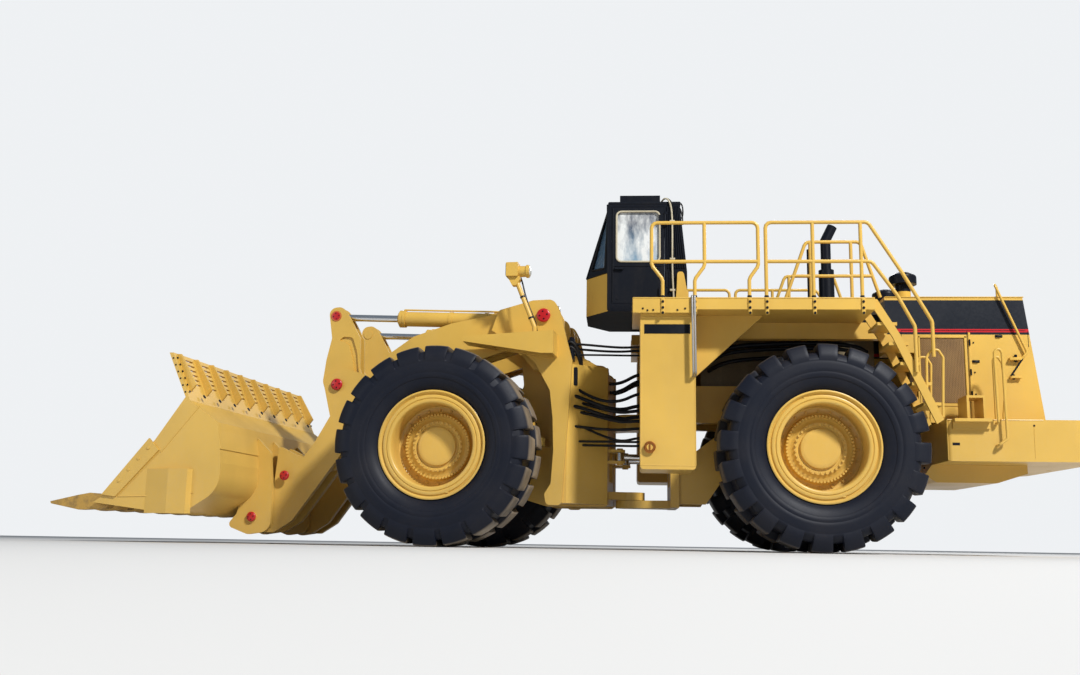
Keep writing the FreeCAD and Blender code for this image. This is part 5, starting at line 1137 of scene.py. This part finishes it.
def hood_trim():
    """Frames of the screens, hinge strips and brackets, and the bars across the hood's top."""
    trim = Piece("hood_trim")
    for strip in HOOD_STRIPS:
        trim.pair(on_hood(*strip))
    trim.pair(block((-2.47, 0.98, 2.93), (-2.39, 1.03, 3.112), 0.006))
    trim.pair(block((-3.36, 0.98, 2.935), (-2.46, 1.03, 2.965), 0.006))
    for x in (-4.9, -4.35, -3.95):
        trim.add(block((x - 0.2, -0.9, 3.498), (x + 0.2, 0.9, 3.51), 0.005))
    trim.make("yellow")


def hood_fittings():
    """Seams, hinges, handles and pins on the hood's sides, and the pipes over the engine."""
    dark = Piece("hood_fittings")
    for x, low, high in HOOD_SEAMS:
        dark.pair(on_hood(x - 0.004, x + 0.004, low, high, 0.0015, 0.001, 0.003))
    dark.pair(on_hood(-5.36, -3.7, 3.024, 3.032, 0.0015, 0.001, 0.003))
    y = HOOD_SIDE + 0.018
    for z in (2.15, 2.45, 2.86):
        dark.pair(tube([(-4.605, y, z - 0.04), (-4.605, y, z + 0.04)], 0.012, 12))
        dark.pair(bolt((-4.66, HOOD_SIDE, z), (0, 1, 0), 0.012, 0.01))
    near, far = HOOD_SIDE + 0.004, HOOD_SIDE + 0.03
    for x, z in ((-4.68, 2.6), (-3.93, 1.9), (-5.0, 2.95)):
        dark.pair(on_hood(x - 0.05, x + 0.05, z - 0.018, z + 0.018, 0.008, 0.005))
        handle = [(x - 0.03, near, z), (x - 0.03, far, z), (x + 0.03, far, z), (x + 0.03, near, z)]
        dark.pair(tube(bent(handle, 0.01), 0.006, 8))
    for x0, z0, x1, z1, out, radius, sides in HOOD_PINS:
        dark.pair(tube([(x0, HOOD_SIDE + out, z0), (x1, HOOD_SIDE + out, z1)], radius, sides))
    for shift, height, radius in ENGINE_PIPES:
        path = [(-1.1, 0.62, -0.15), (-1.3, 0.8, -0.05), (-1.7, 0.82, 0), (-2.5, 0.84, 0.03), (-3.1, 0.82, 0),
                (-3.3, 0.7, -0.08)]
        dark.pair(tube(curve(np.array(path) + (0, shift, height), 40), radius, 12))
    dark.make("dark")


class LOADER_OT_hood(Maker, bpy.types.Operator):
    """Screens, seams, hinges, latches and brackets on the hood, and pipes over the engine"""
    bl_idname = "loader.hood"
    bl_label = "Hood"

    def execute(self, context):
        hood_screens()
        hood_trim()
        hood_fittings()
        return {"FINISHED"}


# Decks and tanks

# x of the rails' posts, and where else bolts sit in the deck's edge: x, z
POSTS = (-0.41, -0.83, -1.54, -1.76, -2.37, -2.99)
EDGE_BOLTS = ((-0.15, 3.12), (-0.21, 3.095), (-0.285, 3.1), (-0.70, 3.12), (-0.6, 3.1))
POST_COLLAR = [(3.262, 0.0), (3.262, 0.04), (3.276, 0.04), (3.282, 0.03), (3.30, 0.0285), (3.302, 0.024)]
FILLER = [(2.02, 0.057), (2.02, 0.07), (2.03, 0.076), (2.042, 0.076), (2.052, 0.068), (2.052, 0.045),
          (2.044, 0.04), (2.044, 0.0)]
# The deck's outer edge and top, and the tank's outer side
DECK_EDGE, DECK_TOP, TANK_SIDE = 2.078, 3.262, 1.997


def rail_feet():
    """Straps, bolts and collars at the feet of the rails' posts, and bolts in the deck's edge."""
    clamps, straps = Piece("rail_bolts"), Piece("rail_straps")
    for x in POSTS:
        straps.pair(block((x - 0.024, 2.076, 3.04), (x + 0.024, 2.098, DECK_TOP), 0.008))
        for z in (3.06, 3.13, 3.21):
            clamps.pair(bolt((x, 2.096, z), (0, 1, 0), 0.019, 0.014))
        clamps.pair(spun(POST_COLLAR, (x, 2.04, 0), (0, 0, 1), 20))
    straps.make("yellow")
    for x, z in EDGE_BOLTS:
        clamps.pair(bolt((x, 2.079, z), (0, 1, 0), 0.014, 0.01))
    clamps.make("dark")


def deck_plates():
    """Tread plates on both decks, and beads along the edges of decks and tanks."""
    steps = Piece("deck_treads")
    steps.pair(block((-3.13, 0.68, 3.266), (-0.04, 2.0, 3.276), 0.003))
    steps.make("treads")
    edge = Piece("deck_edges")
    edge.pair(tube([(-3.13, DECK_EDGE, DECK_TOP), (-0.03, DECK_EDGE, DECK_TOP)], 0.009, 10))
    edge.pair(tube([(-0.022, 1.15, DECK_TOP), (-0.022, 2.07, DECK_TOP)], 0.009, 10))
    for z in (1.08, 3.02):
        edge.pair(tube([(-0.82, TANK_SIDE, z), (-0.13, TANK_SIDE, z)], 0.008, 8))
    for x in (-0.827, -0.123):
        edge.pair(tube([(x, TANK_SIDE, 1.08), (x, TANK_SIDE, 3.03)], 0.008, 8))
    edge.make("yellow")


def tank_fittings():
    """The left tank's blank plate, and a pair of pipes and a filler cap on each tank."""
    plates = Piece("tank_plates")
    plates.add(block((-0.77, 1.999, 2.80), (-0.17, 2.007, 2.925), 0.003))
    plates.make("dark")
    pipes = Piece("tank_pipes")
    for x in (-0.79, -0.822):
        path = [(x, 2.06, 3.285), (x, 2.112, 3.285), (x - 0.01, 2.112, 2.27), (x - 0.01, 1.99, 2.235)]
        pipes.pair(tube(bent(path, 0.03), 0.0135, 12))
    pipes.make("steel")
    cap = Piece("filler_rings")
    cap.pair(spun(FILLER, (-0.24, 0, 1.31), (0, 1, 0), 40))
    cap.pair(block((-0.25, 2.04, 1.275), (-0.23, 2.058, 1.345), 0.004))
    cap.make("brass")


class LOADER_OT_decks(Maker, bpy.types.Operator):
    """Rail feet and bolts on the deck edges, tread plates, and the tanks' plate, pipes and caps"""
    bl_idname = "loader.decks"
    bl_label = "Decks"

    def execute(self, context):
        rail_feet()
        deck_plates()
        tank_fittings()
        return {"FINISHED"}


# Beads on the counterweight's sides: both ends' x and z, radius
WEIGHT_SEAMS = ((-5.178, 1.25, -5.181, 1.65, 0.006), (-5.3, 1.735, -4.09, 1.735, 0.007),
                (-4.085, 1.21, -4.085, 1.73, 0.007))


class LOADER_OT_weight(Maker, bpy.types.Operator):
    """Seams, slot and bolts of the counterweight, and bolts under it"""
    bl_idname = "loader.weight"
    bl_label = "Counterweight"

    def execute(self, context):
        side = 1.679
        marks = Piece("weight_marks")
        marks.pair(block((-4.237, side - 0.001, 1.402), (-4.143, side + 0.0035, 1.438), 0.002))
        marks.pair(bolt((-5.183, side, 1.665), (0, 1, 0), 0.014, 0.008))
        for x in np.linspace(-5.1, -4.0, 10):
            marks.pair(bolt((x, 0.78, 1.169), (0, 1, 0), 0.016, 0.012))
        marks.make("dark")
        seam = Piece("weight_seams")
        for x0, z0, x1, z1, radius in WEIGHT_SEAMS:
            seam.pair(tube([(x0, side, z0), (x1, side, z1)], radius, 8))
        seam.make("yellow")
        return {"FINISHED"}


LAMP_Y = 1.4
# The lamp's lead down its mast, by x, how far in from the lamp's middle, and z
LAMP_LEAD = ((1.44, 0.05, 3.78), (1.4, 0.07, 3.66), (1.36, 0.04, 3.5), (1.29, 0.01, 3.3), (1.2, 0.03, 3.1),
             (1.18, 0.05, 2.945))


class LOADER_OT_lamps(Maker, bpy.types.Operator):
    """Lenses, frames and leads of the work lamps on the masts"""
    bl_idname = "loader.lamps"
    bl_label = "Lamps"

    def execute(self, context):
        lens = Piece("lamp_lenses", "front_unit", front)
        lens.pair(block((1.594, LAMP_Y - 0.084, 3.757), (1.607, LAMP_Y + 0.084, 3.908), 0.003))
        round_lens = [(-0.006, 0), (-0.006, 0.07), (0.008, 0.068), (0.016, 0.05), (0.02, 0)]
        lens.pair(spun(round_lens, (1.291, LAMP_Y, 3.815), (-1, 0, 0), 36))
        lens.make("lens")
        dark = Piece("lamp_frames", "front_unit", front)
        right, left, low, high, bend = LAMP_Y - 0.096, LAMP_Y + 0.096, 3.743, 3.922, 0.02
        line = rounded([(right, low, bend), (left, low, bend), (left, high, bend), (right, high, bend)])
        dark.pair(hoop(np.insert(line, 0, 1.609, axis=1), (1, 0, 0), 0.009))
        lead = [(x, LAMP_Y - shift, z) for x, shift, z in LAMP_LEAD]
        dark.pair(tube(curve(lead, 36), 0.011, 8))
        clip = [(-0.012, 0.033), (-0.012, 0.038), (0.012, 0.038), (0.012, 0.033)]
        mast = (0.374, 0, 0.927)
        for z, x in ((3.45, 1.383), (3.15, 1.262)):
            dark.pair(spun(clip, (x, LAMP_Y, z), mast, 20))
        dark.make("dark")
        return {"FINISHED"}


BUCKET_SIDE = 2.35
# The spill guard's side edge, at its foot and at its head
GUARD_FOOT, GUARD_HEAD = np.array([5.80, 0, 1.945]), np.array([6.062, 0, 2.53])


class LOADER_OT_bucket(Maker, bpy.types.Operator):
    """Weld beads and bolts on the bucket's sides, and the bolts of its spill guard"""
    bl_idname = "loader.bucket"
    bl_label = "Bucket"

    def execute(self, context):
        marks = Piece("bucket_beads", "bucket", front)
        y = BUCKET_SIDE + 0.001
        marks.pair(tube([(5.615, y, 1.82), (6.13, y, 1.196)], 0.007, 8))
        marks.pair(tube(bent([(6.70, y, 0.60), (5.95, y, 0.62), (5.62, y, 0.66)], 0.1), 0.008, 8))
        for x, z in ((6.30, 1.25), (6.43, 1.11), (6.56, 0.96), (6.69, 0.81)):
            marks.pair(bolt((x, BUCKET_SIDE + 0.029, z), (0, 1, 0), 0.022, 0.01))
        marks.make("yellow")
        holes = Piece("guard_bolts", "bucket", front)
        for share in np.linspace(0.12, 0.92, 6):
            spot = GUARD_FOOT * (1 - share) + GUARD_HEAD * share
            holes.pair(bolt(spot + (0.005, BUCKET_SIDE - 0.001, 0), (0, 1, 0), 0.013, 0.006))
            holes.pair(bolt(spot + (-0.03, BUCKET_SIDE - 0.05, 0.01), (-0.92, 0, 0.39), 0.016, 0.012))
        for middle in np.arange(-4, 5) * 2 * (BUCKET_SIDE - 0.12) / 9:
            holes.add(bolt((5.74, middle, 1.99), (-0.82, 0, 0.57), 0.03, 0.014))
        holes.make("dark")
        return {"FINISHED"}


# Stage

CAMERA = {"spot": (0.094, 16.735, 0.0712), "yaw": 0.075, "pitch": 0.1789, "roll": 0.0164, "lens": 37.92,
          "sensor": 36.0, "near": 0.05, "far": 300.0}
SKY_LIGHT, SKY_STRENGTH = (0.72, 0.84, 1.0, 1), 0.24
SKY_SEEN = (0.86, 0.88, 0.9, 1)
FLOOR_REACH, FLOOR_COLOUR, FLOOR_ROUGHNESS = 60.0, (0.62, 0.61, 0.59, 1), 0.9
# Round lamps that face AIM: name, place, width, power
AIM = np.array([0.0, 0.0, 2.2])
LAMPS = (("key", (-19.0, 24.0, 26.0), 3.6, 17500.0), ("fill", (14.0, 11.0, 6.0), 8.0, 420.0),
         ("back", (-8.0, -15.0, 12.0), 7.0, 1200.0))


def camera_axes(yaw, pitch, roll):
    """Right, up and view directions of a camera that looks towards -Y, turned by three angles."""
    look = np.array([math.sin(yaw) * math.cos(pitch), -math.cos(yaw) * math.cos(pitch), math.sin(pitch)])
    side = np.array([-math.cos(yaw), -math.sin(yaw), 0.0])
    up = np.cross(side, look)
    return side * math.cos(roll) + up * math.sin(roll), up * math.cos(roll) - side * math.sin(roll), look


def set_up(obj, side, up, back, spot):
    """Place an object by its three axes and its place."""
    matrix = np.eye(4)
    matrix[:3] = np.stack([side, up, back, spot], -1)
    obj.matrix_world = Matrix(matrix.tolist())


def sky(scene):
    """A dim blue light all round, which the camera and clear panes see as a pale backdrop."""
    world = bpy.data.worlds.new("studio")
    scene.world = world
    world.use_nodes = True
    tree = world.node_tree
    light = tree.nodes["Background"]
    light.inputs["Color"].default_value = SKY_LIGHT
    light.inputs["Strength"].default_value = SKY_STRENGTH
    seen = tree.nodes.new("ShaderNodeBackground")
    seen.inputs["Color"].default_value = SKY_SEEN
    path = tree.nodes.new("ShaderNodeLightPath")
    both = tree.nodes.new("ShaderNodeMixShader")
    either = tree.nodes.new("ShaderNodeMath")
    either.operation = "MAXIMUM"
    tree.links.new(path.outputs["Is Camera Ray"], either.inputs[0])
    tree.links.new(path.outputs["Is Transmission Ray"], either.inputs[1])
    for source, socket in ((either, both.inputs[0]), (light, both.inputs[1]), (seen, both.inputs[2]),
                           (both, tree.nodes["World Output"].inputs["Surface"])):
        tree.links.new(source.outputs[0], socket)


def floor():
    """A wide pale floor at height 0."""
    mesh = bpy.data.meshes.new("floor")
    corners = ((-1, -1), (1, -1), (1, 1), (-1, 1))
    mesh.from_pydata([(FLOOR_REACH * x, FLOOR_REACH * y, 0) for x, y in corners], [], [(0, 1, 2, 3)])
    plain = bpy.data.materials.new("pale_floor")
    plain.use_nodes = True
    shader = plain.node_tree.nodes["Principled BSDF"]
    shader.inputs["Base Color"].default_value = FLOOR_COLOUR
    shader.inputs["Roughness"].default_value = FLOOR_ROUGHNESS
    mesh.materials.append(plain)
    placed("floor", mesh)


class LOADER_OT_stage(Maker, bpy.types.Operator):
    """Floor, backdrop, lamps and camera"""
    bl_idname = "loader.stage"
    bl_label = "Stage"

    def execute(self, context):
        scene = context.scene
        scene.view_settings.view_transform = "Standard"
        sky(scene)
        floor()
        for name, spot, width, power in LAMPS:
            lamp = bpy.data.lights.new(name, "AREA")
            lamp.shape, lamp.size, lamp.energy = "DISK", width, power
            away = np.array(spot) - AIM
            away /= np.linalg.norm(away)
            side = np.cross((0, 0, 1), away)
            side /= np.linalg.norm(side)
            set_up(placed(name, lamp), side, np.cross(away, side), away, spot)
        eye = bpy.data.cameras.new("camera")
        eye.lens, eye.sensor_width, eye.sensor_fit = CAMERA["lens"], CAMERA["sensor"], "HORIZONTAL"
        eye.clip_start, eye.clip_end = CAMERA["near"], CAMERA["far"]
        scene.camera = placed("camera", eye)
        right, up, look = camera_axes(CAMERA["yaw"], CAMERA["pitch"], CAMERA["roll"])
        set_up(scene.camera, right, up, -look, rear(CAMERA["spot"]))
        return {"FINISHED"}


OPERATORS = (LOADER_OT_finishes, LOADER_OT_wheels, LOADER_OT_cab, LOADER_OT_seat, LOADER_OT_hoses,
             LOADER_OT_caps, LOADER_OT_cylinders, LOADER_OT_hood, LOADER_OT_decks, LOADER_OT_weight,
             LOADER_OT_lamps, LOADER_OT_bucket, LOADER_OT_stage)


class LOADER_PT_panel(bpy.types.Panel):
    """Shows the loader's sizes and colours, and a button for each group of pieces"""
    bl_label = "Wheel Loader"
    bl_idname = "LOADER_PT_panel"
    bl_space_type = "VIEW_3D"
    bl_region_type = "UI"
    bl_category = "Loader"

    def draw(self, context):
        for group in (context.scene.loader_sizes, context.scene.loader_colours):
            for name in group.bl_rna.properties.keys():
                if name not in ("rna_type", "name"):
                    self.layout.prop(group, name)
        for operator in OPERATORS:
            self.layout.operator(operator.bl_idname)


CLASSES = (LoaderSizes, LoaderColours) + OPERATORS + (LOADER_PT_panel,)


def register():
    for made in CLASSES:
        bpy.utils.register_class(made)
    bpy.types.Scene.loader_sizes = PointerProperty(type=LoaderSizes)
    bpy.types.Scene.loader_colours = PointerProperty(type=LoaderColours)


def unregister():
    del bpy.types.Scene.loader_sizes
    del bpy.types.Scene.loader_colours
    for made in reversed(CLASSES):
        bpy.utils.unregister_class(made)


def main():
    """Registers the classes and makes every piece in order."""
    register()
    for operator in OPERATORS:
        group, name = operator.bl_idname.split(".")
        getattr(getattr(bpy.ops, group), name)()


if __name__ == "__main__":
    main()
